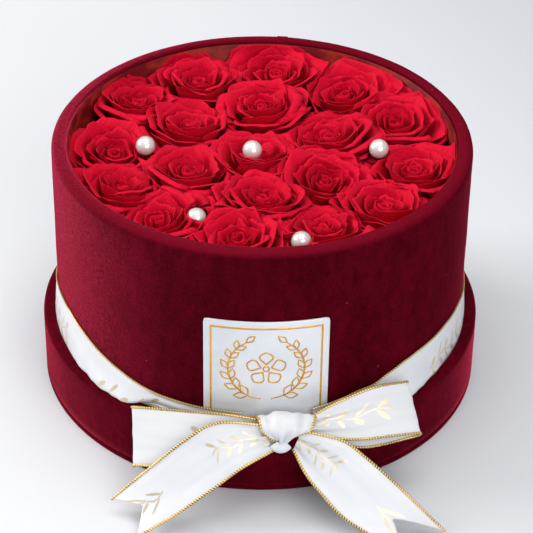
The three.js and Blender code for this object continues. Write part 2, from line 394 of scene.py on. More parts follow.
@dataclass(frozen=True)
class StemFinish:
    """Dried green of the calyx and the cut stem."""

    name: str = "rose_calyx"

    def build(self) -> bpy.types.Material:
        """Return the material."""
        g = Graph(self.name)
        here = g.where()
        fibres = g.grain(g.stretched(here, (900, 900, 90)), 1.0, 3)
        tone = g.grain(here, 130, 3)
        colour = g.blend(tone, (0.035, 0.085, 0.022, 1), (0.10, 0.16, 0.05, 1))
        g.shade(Base_Color=colour, Roughness=g.remap(tone, 0.3, 0.7, 0.55, 0.8),
                Normal=g.bump(fibres, 0.3, 0.0003))
        return g.material


@dataclass(frozen=True)
class PaperFinish:
    """Coppery lining paper with a faint laid grain and rubbed patches."""

    name: str = "copper_lining_paper"
    dark: Colour = (0.12, 0.001, 0.003, 1)
    light: Colour = (0.28, 0.014, 0.006, 1)

    def build(self) -> bpy.types.Material:
        """Return the material."""
        g = Graph(self.name)
        here = g.where()
        cloud = g.grain(g.stretched(here, (46, 46, 80)), 1.0, 4, 0.6)
        fibre = g.grain(g.stretched(here, (500, 500, 2200)), 1.0, 2)
        colour = g.blend(g.remap(cloud, 0.42, 0.62, 0, 1), self.dark, self.light)
        colour = g.blend(g.remap(fibre, 0.4, 0.8, 0.0, 0.3), colour, self.dark)
        g.shade(Base_Color=colour, Roughness=g.remap(cloud, 0.3, 0.7, 0.45, 0.60),
                Normal=g.bump(fibre, 0.2, 0.0002), Specular_IOR_Level=0.18)
        return g.material


@dataclass(frozen=True)
class BoardFinish:
    """Grey-brown chipboard with pressed fibres and flecks."""

    name: str = "chipboard"

    def build(self) -> bpy.types.Material:
        """Return the material."""
        g = Graph(self.name)
        here = g.where()
        fibre = g.grain(g.stretched(here, (260, 260, 900)), 1.0, 4, 0.65)
        fleck = g.grain(here, 1500, 2)
        colour = g.blend(fibre, (0.30, 0.21, 0.13, 1), (0.52, 0.41, 0.28, 1))
        colour = g.blend(g.remap(fleck, 0.62, 0.70, 0, 0.5), colour, (0.16, 0.11, 0.07, 1))
        g.shade(Base_Color=colour, Roughness=g.remap(fibre, 0.3, 0.7, 0.8, 0.95),
                Normal=g.bump(fibre, 0.35, 0.0004))
        return g.material


@dataclass(frozen=True)
class FoamFinish:
    """Dry floral foam: open cells in a grey-green block."""

    name: str = "floral_foam"

    def build(self) -> bpy.types.Material:
        """Return the material."""
        g = Graph(self.name)
        here = g.where()
        cells = g.node("TexVoronoi", {"Vector": here, "Scale": 900.0}).outputs["Distance"]
        tone = g.grain(here, 60, 3)
        colour = g.blend(g.remap(cells, 0.1, 0.6, 1, 0), (0.05, 0.12, 0.07, 1),
                         (0.015, 0.045, 0.022, 1))
        g.shade(Base_Color=colour, Roughness=g.remap(tone, 0.3, 0.7, 0.88, 1.0),
                Normal=g.bump(cells, 0.6, 0.0006))
        return g.material


@dataclass(frozen=True)
class PearlFinish:
    """Glass pearl: warm white with faint pink bands, darkened towards its edge as the camera sees
    it, which is painted shade.
    """

    name: str = "glass_pearl"

    def build(self) -> bpy.types.Material:
        """Return the material."""
        g = Graph(self.name)
        here = g.where()
        # Painted shade: facing grows towards the pearl's outline as seen from the camera, where
        # the colour turns to a dull grey-brown.
        facing = g.node("LayerWeight", {"Blend": 0.35}).outputs["Facing"]
        bands = g.grain(g.stretched(here, (120, 120, 260)), 1.0, 3)
        colour = g.blend(facing, (0.90, 0.87, 0.82, 1), (0.52, 0.45, 0.40, 1))
        colour = g.blend(g.remap(bands, 0.4, 0.7, 0.0, 0.25), colour, (0.88, 0.83, 0.84, 1))
        g.shade(Base_Color=colour, Roughness=g.remap(bands, 0.3, 0.7, 0.20, 0.28),
                Normal=g.bump(bands, 0.05, 0.0003), Coat_Weight=1.0, Coat_Roughness=0.07,
                Metallic=0.35, Specular_IOR_Level=0.8)
        return g.material


@dataclass(frozen=True)
class SteelFinish:
    """Drawn steel wire of the pins."""

    name: str = "pin_wire"

    def build(self) -> bpy.types.Material:
        """Return the material."""
        g = Graph(self.name)
        drawn = g.grain(g.stretched(g.where(), (4000, 4000, 60)), 1.0, 2)
        g.shade(Base_Color=(0.62, 0.62, 0.64, 1), Metallic=1.0,
                Roughness=g.remap(drawn, 0.3, 0.7, 0.22, 0.42), Normal=g.bump(drawn, 0.1, 0.0001))
        return g.material


@dataclass(frozen=True)
class SatinFinish:
    """White satin ribbon, warp threads along it, with a pale gold sprig print.

    The ribbon's own map holds millimetres along it and across it from its middle.
    """

    name: str = "white_satin"
    white: Colour = (0.71, 0.715, 0.735, 1)
    shade_side: Colour = (0.66, 0.67, 0.695, 1)
    print_gold: Colour = (0.70, 0.55, 0.28, 1)
    repeat: float = 74.0
    sprig: float = 40.0

    def sprig_print(self, g: Graph, along, across) -> bpy.types.NodeSocket:
        """Return 1 on the print: a waved stalk with a leaf on each side in turn.

        Args:
            g: the material's graph.
            along: millimetres along the ribbon.
            across: millimetres from its middle.

        Returns:
            The share of gold.
        """
        cell = g.maths("MODULO", along, self.repeat)
        inside = g.maths("LESS_THAN", cell, self.sprig)
        wave = g.maths("MULTIPLY", g.maths("SINE", g.maths("MULTIPLY", cell, 0.32)), 1.6)
        off = g.maths("SUBTRACT", across, wave)
        stalk = g.remap(g.maths("ABSOLUTE", off), 0.30, 0.50, 1, 0)
        leaf_step = 8.0
        beside = g.maths("SUBTRACT", g.maths("MODULO", cell, leaf_step), leaf_step / 2)
        skew = g.maths("SUBTRACT", g.maths("ABSOLUTE", off), 3.1)
        slant = g.maths("SUBTRACT", beside, g.maths("MULTIPLY", skew, 0.7))
        oval = g.maths("ADD", g.maths("POWER", g.maths("DIVIDE", slant, 1.4), 2.0),
                       g.maths("POWER", g.maths("DIVIDE", skew, 2.6), 2.0))
        leaf = g.remap(oval, 0.75, 1.0, 1, 0)
        return g.maths("MULTIPLY", g.maths("MAXIMUM", stalk, leaf), inside)

    def build(self) -> bpy.types.Material:
        """Return the material."""
        g = Graph(self.name)
        laid = g.node("SeparateXYZ", {0: g.node("UVMap", uv_map="ribbon").outputs[0]})
        along, across = laid.outputs[0], laid.outputs[1]
        vector = g.node("CombineXYZ", {0: along, 1: across}).outputs[0]
        warp = g.grain(g.stretched(vector, (0.35, 9.0, 1)), 1.0, 2)
        slub = g.grain(g.stretched(vector, (0.02, 0.16, 1)), 1.0, 2)
        gold = self.sprig_print(g, along, across)
        cloth = g.blend(g.remap(slub, 0.3, 0.7, 0, 1), self.white, self.shade_side)
        colour = g.blend(g.maths("MULTIPLY", gold, 0.66), cloth, self.print_gold)
        rough = g.remap(warp, 0.3, 0.7, 0.30, 0.44)
        g.shade(Base_Color=colour, Roughness=rough, Metallic=g.maths("MULTIPLY", gold, 0.5),
                Normal=g.bump(warp, 0.18, 0.00012), Sheen_Weight=0.10, Sheen_Roughness=0.3,
                Specular_IOR_Level=0.38)
        return g.material


@dataclass(frozen=True)
class FoilFinish:
    """Warm gold foil pressed into card."""

    name: str = "gold_foil"
    bright: Colour = (0.84, 0.43, 0.055, 1)
    dull: Colour = (0.62, 0.29, 0.035, 1)

    def build(self) -> bpy.types.Material:
        """Return the material."""
        g = Graph(self.name)
        here = g.where()
        fine = g.grain(here, 2200, 2)
        worn = g.grain(here, 160, 3)
        colour = g.blend(g.remap(worn, 0.35, 0.7, 0, 0.8), self.bright, self.dull)
        g.shade(Base_Color=colour, Metallic=0.45, Roughness=g.remap(worn, 0.3, 0.7, 0.26, 0.40),
                Normal=g.bump(fine, 0.2, 0.0001))
        return g.material


@dataclass(frozen=True)
class ThreadFinish:
    """Twisted gold thread: bright strands, with dark brown painted shade in the hollows between
    them.
    """

    name: str = "gold_thread"
    bright: Colour = (0.92, 0.66, 0.24, 1)
    hollow_shade: Colour = (0.07, 0.028, 0.010, 1)
    beads: float = 4.3
    worn: float = 0.035

    def build(self) -> bpy.types.Material:
        """Return the material."""
        g = Graph(self.name)
        laid = g.node("SeparateXYZ", {0: g.node("UVMap", uv_map="thread").outputs[0]})
        run = g.maths("MULTIPLY", laid.outputs[0], self.beads)
        slant = g.maths("MULTIPLY_ADD", laid.outputs[1], FULL_TURN, run)
        bead = g.maths("SINE", slant)
        place = g.node("CombineXYZ", {0: laid.outputs[0]}).outputs[0]
        stretch = g.grain(place, self.worn, 2)
        # Painted shade: the dark hollow colour falls in bands that follow the twist, between the
        # bright strands.
        share = g.maths("MULTIPLY", g.remap(bead, -0.35, 0.45, 0, 1),
                        g.remap(stretch, 0.35, 0.60, 0.35, 1.0))
        fine = g.grain(g.where(), 3000, 2)
        g.shade(Base_Color=g.blend(share, self.bright, self.hollow_shade), Metallic=0.55,
                Roughness=g.remap(fine, 0.3, 0.7, 0.28, 0.48),
                Normal=g.bump(fine, 0.2, 0.0001))
        return g.material


@dataclass(frozen=True)
class CardFinish:
    """Pale silver-grey coated card, with a fine pressed grain."""

    name: str = "silver_card"
    face: Colour = (0.68, 0.70, 0.74, 1)
    light: Colour = (0.77, 0.79, 0.82, 1)

    def build(self) -> bpy.types.Material:
        """Return the material."""
        g = Graph(self.name)
        here = g.where()
        press = g.grain(here, 1800, 2)
        cloud = g.grain(here, 28, 3)
        colour = g.blend(g.remap(cloud, 0.35, 0.65, 0, 1), self.face, self.light)
        g.shade(Base_Color=colour, Roughness=g.remap(press, 0.3, 0.7, 0.30, 0.42),
                Normal=g.bump(press, 0.08, 0.0001), Metallic=0.15, Coat_Weight=0.15,
                Coat_Roughness=0.25)
        return g.material


@dataclass(frozen=True)
class FloorFinish:
    """The studio's pale matt floor, painted darker towards the right and the back as painted
    shade.
    """

    name: str = "studio_floor"

    def build(self) -> bpy.types.Material:
        """Return the material."""
        g = Graph(self.name)
        here = g.where()
        colour = g.blend(g.grain(here, 3, 2), (0.665, 0.675, 0.70, 1), (0.69, 0.70, 0.725, 1))
        # Painted shade: far grows towards +X and +Y, and there the floor turns darker, for the key
        # light falling off away from the left.
        place = g.node("SeparateXYZ", {0: here})
        far = g.maths("MULTIPLY_ADD", place.outputs[1], 0.45, place.outputs[0])
        colour = g.blend(g.remap(far, 0.05, 0.42, 0, 1), colour, (0.55, 0.565, 0.59, 1))
        g.shade(Base_Color=colour, Roughness=0.7, Specular_IOR_Level=0.2)
        return g.material


@dataclass
class Finishes:
    """Every material of the object, made once."""

    velvet: bpy.types.Material = field(default_factory=lambda: VelvetFinish().build())
    lid_velvet: bpy.types.Material = field(default_factory=lambda: VelvetFinish(
        name="burgundy_velvet_lid", nap_lean=-0.04, nap_weight=0.84).build())
    petal: bpy.types.Material = field(default_factory=lambda: PetalFinish().build())
    stem: bpy.types.Material = field(default_factory=lambda: StemFinish().build())
    paper: bpy.types.Material = field(default_factory=lambda: PaperFinish().build())
    board: bpy.types.Material = field(default_factory=lambda: BoardFinish().build())
    foam: bpy.types.Material = field(default_factory=lambda: FoamFinish().build())
    pearl: bpy.types.Material = field(default_factory=lambda: PearlFinish().build())
    steel: bpy.types.Material = field(default_factory=lambda: SteelFinish().build())
    satin: bpy.types.Material = field(default_factory=lambda: SatinFinish().build())
    thread: bpy.types.Material = field(default_factory=lambda: ThreadFinish().build())
    foil: bpy.types.Material = field(default_factory=lambda: FoilFinish().build())
    card: bpy.types.Material = field(default_factory=lambda: CardFinish().build())


def settle(piece: bpy.types.Object, body: Body, slot: str, *nodes: str) -> None:
    """Make a piece ride on a body, and let it stand for CAD nodes.

    Args:
        piece: the finished piece.
        body: the body that carries it.
        slot: the record's material slot; not used.
        nodes: the CAD nodes that it stands for.
    """
    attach(piece, body.value)
    if nodes:
        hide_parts(*nodes)


def dress(nodes: dict[str, bpy.types.Object], names: Iterable[str],
          finish: bpy.types.Material) -> None:
    """Give CAD nodes that stay in view a finish of their own."""
    for name in names:
        mesh = nodes[name].data
        mesh.materials.clear()
        mesh.materials.append(finish)


def ring_sizes(node: str) -> tuple[float, float, float]:
    """Return a round node's outer radius, lowest and highest height, in millimetres."""
    low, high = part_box(node)
    return high.x / MM, low.z / MM, high.z / MM


# The box and its lid


def wobble(bm: bmesh.types.BMesh, amount: float, above: float = 0.0) -> None:
    """Move a wall's points in and out a little, as cloth glued by hand lies.

    Args:
        bm: the wall, in millimetres.
        amount: the most that a point moves, in millimetres.
        above: points at or below this height stay.
    """
    for vert in bm.verts:
        if vert.co.z <= above:
            continue
        n = noise.noise(vert.co * 0.035) + 0.5 * noise.noise(vert.co * 0.11)
        out = Vector((vert.co.x, vert.co.y, 0)).normalized()
        vert.co += out * n * amount


@dataclass
class HatBox:
    """The velvet box: its wrap over a thick round rim, the seam, and the lining."""

    finishes: Finishes
    nodes: dict[str, bpy.types.Object]
    rim: float = 8.0
    outer_round: float = 4.2
    inner_round: float = 1.3
    skin: float = 1.0
    turn_in: float = 13.0
    steps: int = 224
    unevenness: float = 0.22
    foot_held: float = 2.0
    seam_turn: float = 173.0
    seam_width: float = 3.0
    seam_proud: float = 0.2
    seam_thickness: float = 0.5
    paper: float = 0.6

    def wrap_outline(self, grow: float = 0.0) -> list[Point]:
        """Return the outline of the velvet, up the wall and over the rim."""
        outer, low, high = ring_sizes("box_velvet")
        first = (outer - self.outer_round, high - self.outer_round)
        last = (outer - self.rim + self.inner_round, high - self.inner_round)
        wall = [(outer + grow, low + (first[1] - low) * i / 14) for i in range(14)]
        over = arc(first, self.outer_round + grow, 0, 90, 10)
        over += arc(last, self.inner_round + grow, 90, 180, 5)
        inner = [(outer - self.rim - grow, last[1] - self.turn_in * i / 3) for i in (1, 2, 3)]
        return wall + over + inner

    def build_wrap(self) -> None:
        """Make the velvet skin that stands for the CAD wrap."""
        outline = self.wrap_outline()
        bm = spun(outline, self.steps, closed=False)
        wobble(bm, self.unevenness, outline[0][1] + self.foot_held)
        piece = as_piece(bm, "box_velvet_wrap", self.finishes.velvet)
        thicken(piece, self.skin, -1.0)
        settle(piece, Body.BOX, "velvet", "box_velvet")

    def build_seam(self) -> None:
        """Make the flap where the velvet's end laps over its start at the back."""
        outline = self.wrap_outline(grow=self.seam_proud)
        bm = bmesh.new()
        start = math.radians(self.seam_turn - 90)
        verts = [bm.verts.new((r * math.cos(start), r * math.sin(start), z)) for r, z in outline]
        edges = [bm.edges.new(pair) for pair in zip(verts, verts[1:])]
        bmesh.ops.spin(bm, geom=verts + edges, cent=(0, 0, 0), axis=(0, 0, 1),
                       angle=math.radians(self.seam_width), steps=6)
        bmesh.ops.recalc_face_normals(bm, faces=bm.faces)
        piece = as_piece(bm, "box_velvet_lap", self.finishes.velvet)
        thicken(piece, self.seam_thickness)
        settle(piece, Body.BOX, "velvet")

    def build_lining(self) -> None:
        """Make the paper lining that stands for the CAD band."""
        outer, low, high = ring_sizes("box_lining")
        inner = outer - self.paper
        outline = [(inner, low), (inner, high - 0.2), (outer - self.paper / 2, high),
                   (outer, high - 0.2), (outer, low)]
        bm = spun(outline, self.steps, closed=True)
        piece = as_piece(bm, "box_lining_paper", self.finishes.paper)
        settle(piece, Body.BOX, "lining_paper", "box_lining")

    def build(self) -> None:
        """Make the velvet and the lining, and dress the boards."""
        self.build_wrap()
        self.build_seam()
        self.build_lining()
        dress(self.nodes, ("box_wall_board", "box_base_board"), self.finishes.board)
        LOG.info("hat box: wrap, lap and lining")


@dataclass
class UpturnedLid:
    """The lid that the box stands in: a velvet ring on a velvet disc."""

    finishes: Finishes
    nodes: dict[str, bpy.types.Object]
    wall: float = 6.6
    skin: float = 0.9
    rim_round: float = 2.1
    disc_round: float = 0.9
    unevenness: float = 0.15
    steps: int = 224

    def build_ring(self) -> None:
        """Make the ring's velvet, outside, over the rim and down the inside."""
        outer, low, high = ring_sizes("lid_wall_velvet")
        round_r = self.rim_round
        top = high - round_r
        outside = [(outer - 0.5, low), (outer, low + 0.6)]
        outside += [(outer, low + 0.6 + (top - low - 0.6) * i / 6) for i in range(1, 6)]
        over = arc((outer - round_r, top), round_r, 0, 90, 6)
        over += arc((outer - self.wall + round_r, top), round_r, 90, 180, 6)
        inner = outer - self.wall
        inside = [(inner, top - (top - low) * i / 6) for i in range(1, 7)]
        bm = spun(outside + over + inside, self.steps, closed=False)
        wobble(bm, self.unevenness, low + 1)
        piece = as_piece(bm, "lid_velvet_ring", self.finishes.lid_velvet)
        thicken(piece, self.skin, -1.0)
        settle(piece, Body.LID, "velvet", "lid_wall_velvet")

    def build_disc(self) -> None:
        """Make the velvet over the lid's top board, which lies on the table."""
        outer, _, high = ring_sizes("lid_disc_velvet")
        edge = self.disc_round
        outline = [(0.0, 0.0), (outer * 0.5, 0.0), (outer - 3, 0.0)]
        outline += arc((outer - edge, edge), edge, -90, 0, 5)
        outline += arc((outer - edge, high - edge), edge, 0, 90, 5)
        outline += [(outer - 2.4, high)]
        bm = spun(outline, self.steps, closed=False)
        piece = as_piece(bm, "lid_velvet_disc", self.finishes.lid_velvet)
        thicken(piece, self.skin, -1.0)
        settle(piece, Body.LID, "velvet", "lid_disc_velvet")

    def build(self) -> None:
        """Make the velvet, and dress the boards and the paper disc."""
        self.build_ring()
        self.build_disc()
        dress(self.nodes, ("lid_wall_board", "lid_disc_board"), self.finishes.board)
        dress(self.nodes, ("lid_lining",), self.finishes.paper)
        LOG.info("lid: ring and disc")


# The roses


@dataclass(frozen=True)
class PetalRow:
    """One row of petals, from the heart outwards, in millimetres and degrees.

    Each petal's middle line runs through four (radius, height) stations, with heights
    measured down from the head's crown.
    """

    count: int
    foot: float
    cup: tuple[float, float]
    crest: tuple[float, float]
    tip: tuple[float, float]
    spread: float
    roll: float


ROWS = (
    PetalRow(3, 1.5, (4.0, -14.0), (5.6, -6.8), (5.2, -4.2), 84, 0.4),
    PetalRow(3, 2.5, (7.0, -14.0), (9.0, -5.4), (10.0, -2.6), 84, 0.6),
    PetalRow(4, 3.5, (10.6, -14.0), (13.4, -4.6), (15.2, -1.2), 68, 0.8),
    PetalRow(4, 5.0, (14.2, -14.0), (17.6, -4.2), (20.8, -0.8), 68, 1.1),
    PetalRow(5, 7.0, (17.0, -15.0), (21.4, -5.6), (26.2, -2.8), 56, 1.4),
    PetalRow(5, 9.0, (19.5, -18.5), (24.4, -8.6), (30.0, -6.4), 50, 1.4),
)


@dataclass(frozen=True)
class Bead:
    """A pearl that petals give way to: its middle, the clear radius, and if it is covered."""

    middle: Vector
    size: float
    covered: bool


@dataclass
class Rose:
    """One preserved rose head on its cut stem, pressed in among its neighbours."""

    name: str
    centre: Vector
    neighbours: Sequence[Vector]
    beads: Sequence[Bead]
    wall: float
    top: float
    foot: float
    seed: int
    depth: float = 36.0
    free: float = 0.80
    overlap: float = 1.16
    stem_r: float = 2.4
    angular: float = 0.85
    brim: float = 1.8
    heart_r: float = 12.0
    rng: random.Random = field(init=False)
    open: float = field(init=False)

    def __post_init__(self) -> None:
        """Seed this rose's own random draws, and settle how far it has opened."""
        self.rng = random.Random(self.seed)
        self.open = self.rng.uniform(0.90, 1.08)
        self.top += self.rng.uniform(-1.8, 0.4)

    def reach(self, angle: float) -> tuple[float, float]:
        """Return how far petals may go towards a neighbour, and to the lining.

        Args:
            angle: the direction, in radians from +X.

        Returns:
            Two distances from the rose's centre, in millimetres.
        """
        way = Vector((math.cos(angle), math.sin(angle), 0))
        along = self.centre.dot(way)
        wall = math.sqrt(along**2 + self.wall**2 - self.centre.length_squared) - along
        limit = 27.0
        for other in self.neighbours:
            apart = other - self.centre
            facing = apart.dot(way) / (apart.length or 1.0)
            if facing > 0.15:
                limit = min(limit, apart.length / 2 / facing)
        return limit * self.overlap, wall

    def sheet(self, bm: bmesh.types.BMesh, columns: int, rows: int,
              place: Callable[[float, float], tuple[Vector, float]]) -> None:
        """Add a grid and move each of its points to its place on a petal.

        Args:
            bm: the rose.
            columns: faces across.
            rows: faces up.
            place: gives the point and its height share from u in -1..1 and v in 0..1.
        """
        made = bmesh.ops.create_grid(bm, x_segments=columns, y_segments=rows, size=1.0)["verts"]
        high = bm.verts.layers.float["petal_height"]
        laid = bm.loops.layers.uv["petal"]
        faces = {face for vert in made for face in vert.link_faces}
        shift = self.rng.uniform(0, 9)
        for face in faces:
            for loop in face.loops:
                u, v, _ = loop.vert.co
                loop[laid].uv = (u / 2 + shift, (v + 1) / 2)
        for vert in made:
            point, share = place(vert.co.x, (vert.co.y + 1) / 2)
            vert.co = point
            vert[high] = share

    def petal(self, bm: bmesh.types.BMesh, row: PetalRow, turn: float) -> None:
        """Add one petal of a row.

        Args:
            bm: the rose.
            row: the row that it belongs to.
            turn: the direction of its middle, in radians.
        """
        rng = self.rng
        here = Vector((rng.uniform(0, 50), rng.uniform(0, 50), rng.uniform(0, 50)))
        spread = math.radians(row.spread) * rng.uniform(0.85, 1.10)
        roll = row.roll * rng.uniform(0.45, 1.45)
        rise = rng.uniform(-2.0, 1.4)
        wide = self.open * rng.uniform(0.91, 1.07)
        point = rng.uniform(0.2, 1.4)
        lean = rng.uniform(-0.12, 0.12)
        lap = rng.uniform(0.06, 0.15)
        flare = rng.uniform(0.4, 1.3)
        fold = rng.choice((0.2, 0.5, 2.4))
        corner = math.radians(rng.uniform(44, 78))
        first = rng.uniform(0, corner)
        tip = (row.crest[0] + (row.tip[0] - row.crest[0]) * flare, row.tip[1])
        line = [Vector((row.foot, -self.depth)), Vector(row.cup), Vector(row.crest), Vector(tip)]

        def place(u: float, v: float) -> tuple[Vector, float]:
            side = abs(u)
            cut = (0.10 + 0.10 * point) * side**1.3 + 0.13 * side**4
            share = v * (1 - cut + lean * u)
            middle = spline(line, share)
            rim, edge = ease(0.70, 1.0, v), ease(0.40, 1.0, side)
            slow = noise.noise(here + Vector((u * 1.2, v * 1.3, 0)))
            quick = noise.noise(here * 1.7 + Vector((u * 3.6, v * 1.4, 4)))
            crease = 0.45 - 2 * abs(noise.noise(here * 2.3 + Vector((u * 7.0, v * 1.6, 8))))
            angle = spread * u * (0.26 + 0.74 * ease(0, 0.7, v)) * (1 - 0.10 * rim)
            bend = (angle + first) % corner - corner / 2
            facet = 1 / math.cos(bend) - 1 - corner**2 / 24
            back = roll * (edge * ease(0.45, 1.0, v) + fold * ease(0.84, 1.0, v) ** 1.5)
            radius = middle.x * wide * (1 + v * (lap * max(0, u) ** 2 - 0.05 * max(0, -u) ** 2))
            radius += (0.5 * u + 1.7 * slow + 0.8 * quick * rim) * v + 0.40 * crease * v
            radius *= 1 + self.angular * facet * ease(0.30, 1.0, v)
            radius += 0.55 * back
            height = middle.y + rise * v - 0.62 * back * rim + 5.0 * facet * rim
            height += (1.2 * quick + 0.45 * crease) * rim + 1.0 * slow * v
            angle += turn
            return Vector((radius * math.cos(angle), radius * math.sin(angle), height)), share

        self.sheet(bm, 24, 14, place)

    def heart(self, bm: bmesh.types.BMesh) -> None:
        """Add the rolled heart, a loose coil deep in the cup."""
        rng = self.rng
        turns, phase = rng.uniform(1.6, 2.4), rng.uniform(0, FULL_TURN)
        here = Vector((rng.uniform(0, 50), 3, 7))
        squash = rng.uniform(0.7, 1.0)

        def place(u: float, v: float) -> tuple[Vector, float]:
            share = (u + 1) / 2
            angle = phase + share * turns * FULL_TURN
            uneven = noise.noise(here + Vector((share * 7, v, 0)))
            radius = 0.7 + 3.4 * share**0.8 + 1.5 * uneven
            height = -20 + (20 - 5.6 + 1.4 * share + 3.0 * uneven) * v
            point = Vector((radius * math.cos(angle), squash * radius * math.sin(angle), height))
            return point, 0.62 + 0.30 * v

        self.sheet(bm, 64, 7, place)

    def give_way(self, point: Vector) -> None:
        """Move a petal's point off the pearls: over a covered one, else short of it."""
        for bead in self.beads:
            apart = (bead.middle - self.centre).to_2d()
            if apart.length < self.heart_r or point.z < bead.middle.z - bead.size:
                continue
            out = (point - self.centre).to_2d()
            if bead.covered and apart.y > 0:
                aside = (out - apart).length
                if aside < bead.size:
                    point.z = max(point.z, bead.middle.z + math.sqrt(bead.size**2 - aside**2))
                continue
            way = out.normalized()
            along = apart.dot(way)
            miss = apart.length_squared - along**2
            if along > 0 and miss < bead.size**2:
                near = along - math.sqrt(bead.size**2 - miss)
                if out.length > near:
                    point.x = self.centre.x + way.x * near
                    point.y = self.centre.y + way.y * near

    def press(self, bm: bmesh.types.BMesh) -> None:
        """Press the head in among its neighbours and carry it to its place."""
        lean = Matrix.Rotation(math.radians(self.rng.uniform(-9, 9)), 4, "X")
        lean @= Matrix.Rotation(math.radians(self.rng.uniform(-9, 9)), 4, "Y")
        bmesh.ops.transform(bm, matrix=lean, verts=bm.verts, space=Matrix.Translation((0, 0, 20)))
        for vert in bm.verts:
            radius, angle = math.hypot(vert.co.x, vert.co.y), math.atan2(vert.co.y, vert.co.x)
            near, wall = self.reach(angle)
            limit = min(near, wall)
            if radius > self.free * limit:
                over = (radius / limit - self.free) / (1 - self.free)
                held = limit * (self.free + (1 - self.free) * math.tanh(over))
                crowd = 0.90 if wall < near else 0.12
                lift = crowd * (radius - held) * ease(-20, -8, vert.co.z)
                vert.co.z = max(vert.co.z, min(vert.co.z + lift, self.brim))
                radius = held
            vert.co.x = self.centre.x + radius * math.cos(angle)
            vert.co.y = self.centre.y + radius * math.sin(angle)
            vert.co.z += self.top
            self.give_way(vert.co)

    def build_stem(self, bm: bmesh.types.BMesh) -> None:
        """Add the cut stem and the calyx cup, with the second material."""
        before = set(bm.faces)
        base = self.top - self.depth
        length = base + 6 - self.foot
        low = Vector((self.centre.x, self.centre.y, self.foot + length / 2))
        bmesh.ops.create_cone(bm, cap_ends=True, cap_tris=False, segments=12,
                              radius1=self.stem_r * 0.85, radius2=self.stem_r, depth=length,
                              matrix=Matrix.Translation(low))
        cup = Matrix.Translation((self.centre.x, self.centre.y, base + 1.5))
        bmesh.ops.create_cone(bm, cap_ends=True, cap_tris=False, segments=15, radius1=3.2,
                              radius2=8.2, depth=7.0, matrix=cup)
        for face in set(bm.faces) - before:
            face.material_index = 1

    def build(self, finishes: Finishes) -> bpy.types.Object:
        """Return the finished rose."""
        bm = bmesh.new()
        bm.verts.layers.float.new("petal_height")
        bm.loops.layers.uv.new("petal")
        self.heart(bm)
        phase = self.rng.uniform(0, FULL_TURN)
        for row in ROWS:
            phase += math.radians(self.rng.uniform(25, 75))
            for i in range(row.count):
                turn = phase + FULL_TURN * i / row.count + self.rng.uniform(-0.32, 0.32)
                self.petal(bm, row, turn)
        self.press(bm)
        self.build_stem(bm)
        bmesh.ops.recalc_face_normals(bm, faces=bm.faces)
        piece = as_piece(bm, self.name + "_bloom", finishes.petal)
        piece.data.materials.append(finishes.stem)
        thicken(piece, 0.2)
        return piece


@dataclass
class RoseBed:
    """Roses in rings on the foam, with pearl pins between them."""

    finishes: Finishes
    nodes: dict[str, bpy.types.Object]
    middles: Sequence[tuple[float, float]] = (
        (-2.5, -3), (-40, 27), (1, 46), (37, 17), (31, -24), (-1, -46), (-39, -22),
        (-69, 50), (-36, 72.5), (7, 82), (46, 63.5), (71, 35), (79.5, -15), (61, -50),
        (31, -73), (-11, -79.5), (-50, -63), (-73, -36), (-80, 1))
    pearls: int = 6
    covered_pearls: tuple[int, ...] = (4,)
    pearl_gap: float = 0.8
    first_seed: int = 41

    def beads(self) -> list[Bead]:
        """Return what the petals give way to."""
        made = []
        for i in range(1, self.pearls + 1):
            low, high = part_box(f"pearl_{i}")
            size = (high.z - low.z) / 2 / MM + self.pearl_gap
            made.append(Bead((low + high) / 2 / MM, size, i in self.covered_pearls))
        return made

    def build_roses(self) -> None:
        """Make each rose where its CAD head stands."""
        middles = [Vector((x, y, 0)) for x, y in self.middles]
        wall = ring_sizes("box_lining")[0] - 1.0
        beads = self.beads()
        for i, middle in enumerate(middles):
            node = f"rose_{i + 1:02d}"
            low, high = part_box(node)
            others = [other for other in middles if other is not middle]
            rose = Rose(node, middle, others, beads, wall, high.z / MM, low.z / MM,
                        self.first_seed + 7 * i)
            settle(rose.build(self.finishes), Body.BOX, "petals", node)

    def build_pearl(self, node: str) -> None:
        """Make one glass pearl, drilled from below for its pin."""
        low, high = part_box(node)
        middle, radius = (low + high) / 2 / MM, (high.z - low.z) / 2 / MM
        bm = bmesh.new()
        bmesh.ops.create_uvsphere(bm, u_segments=40, v_segments=24, radius=radius)
        bore = [vert for vert in bm.verts if vert.co.z < -0.985 * radius]
        bmesh.ops.translate(bm, vec=(0, 0, 1.2), verts=bore)
        bmesh.ops.translate(bm, vec=middle, verts=bm.verts)
        piece = as_piece(bm, node + "_bead", self.finishes.pearl)
        settle(piece, Body.BOX, "pearl", node)

    def build(self) -> None:
        """Make the roses and the pearls, and dress the foam and the pins."""
        self.build_roses()
        for i in range(self.pearls):
            self.build_pearl(f"pearl_{i + 1}")
        dress(self.nodes, ("foam_disc",), self.finishes.foam)
        pins = [f"pearl_pin_{i + 1}" for i in range(self.pearls)]
        dress(self.nodes, pins, self.finishes.steel)
        LOG.info("bed: %d roses, %d pearls", len(self.middles), self.pearls)


# The label card


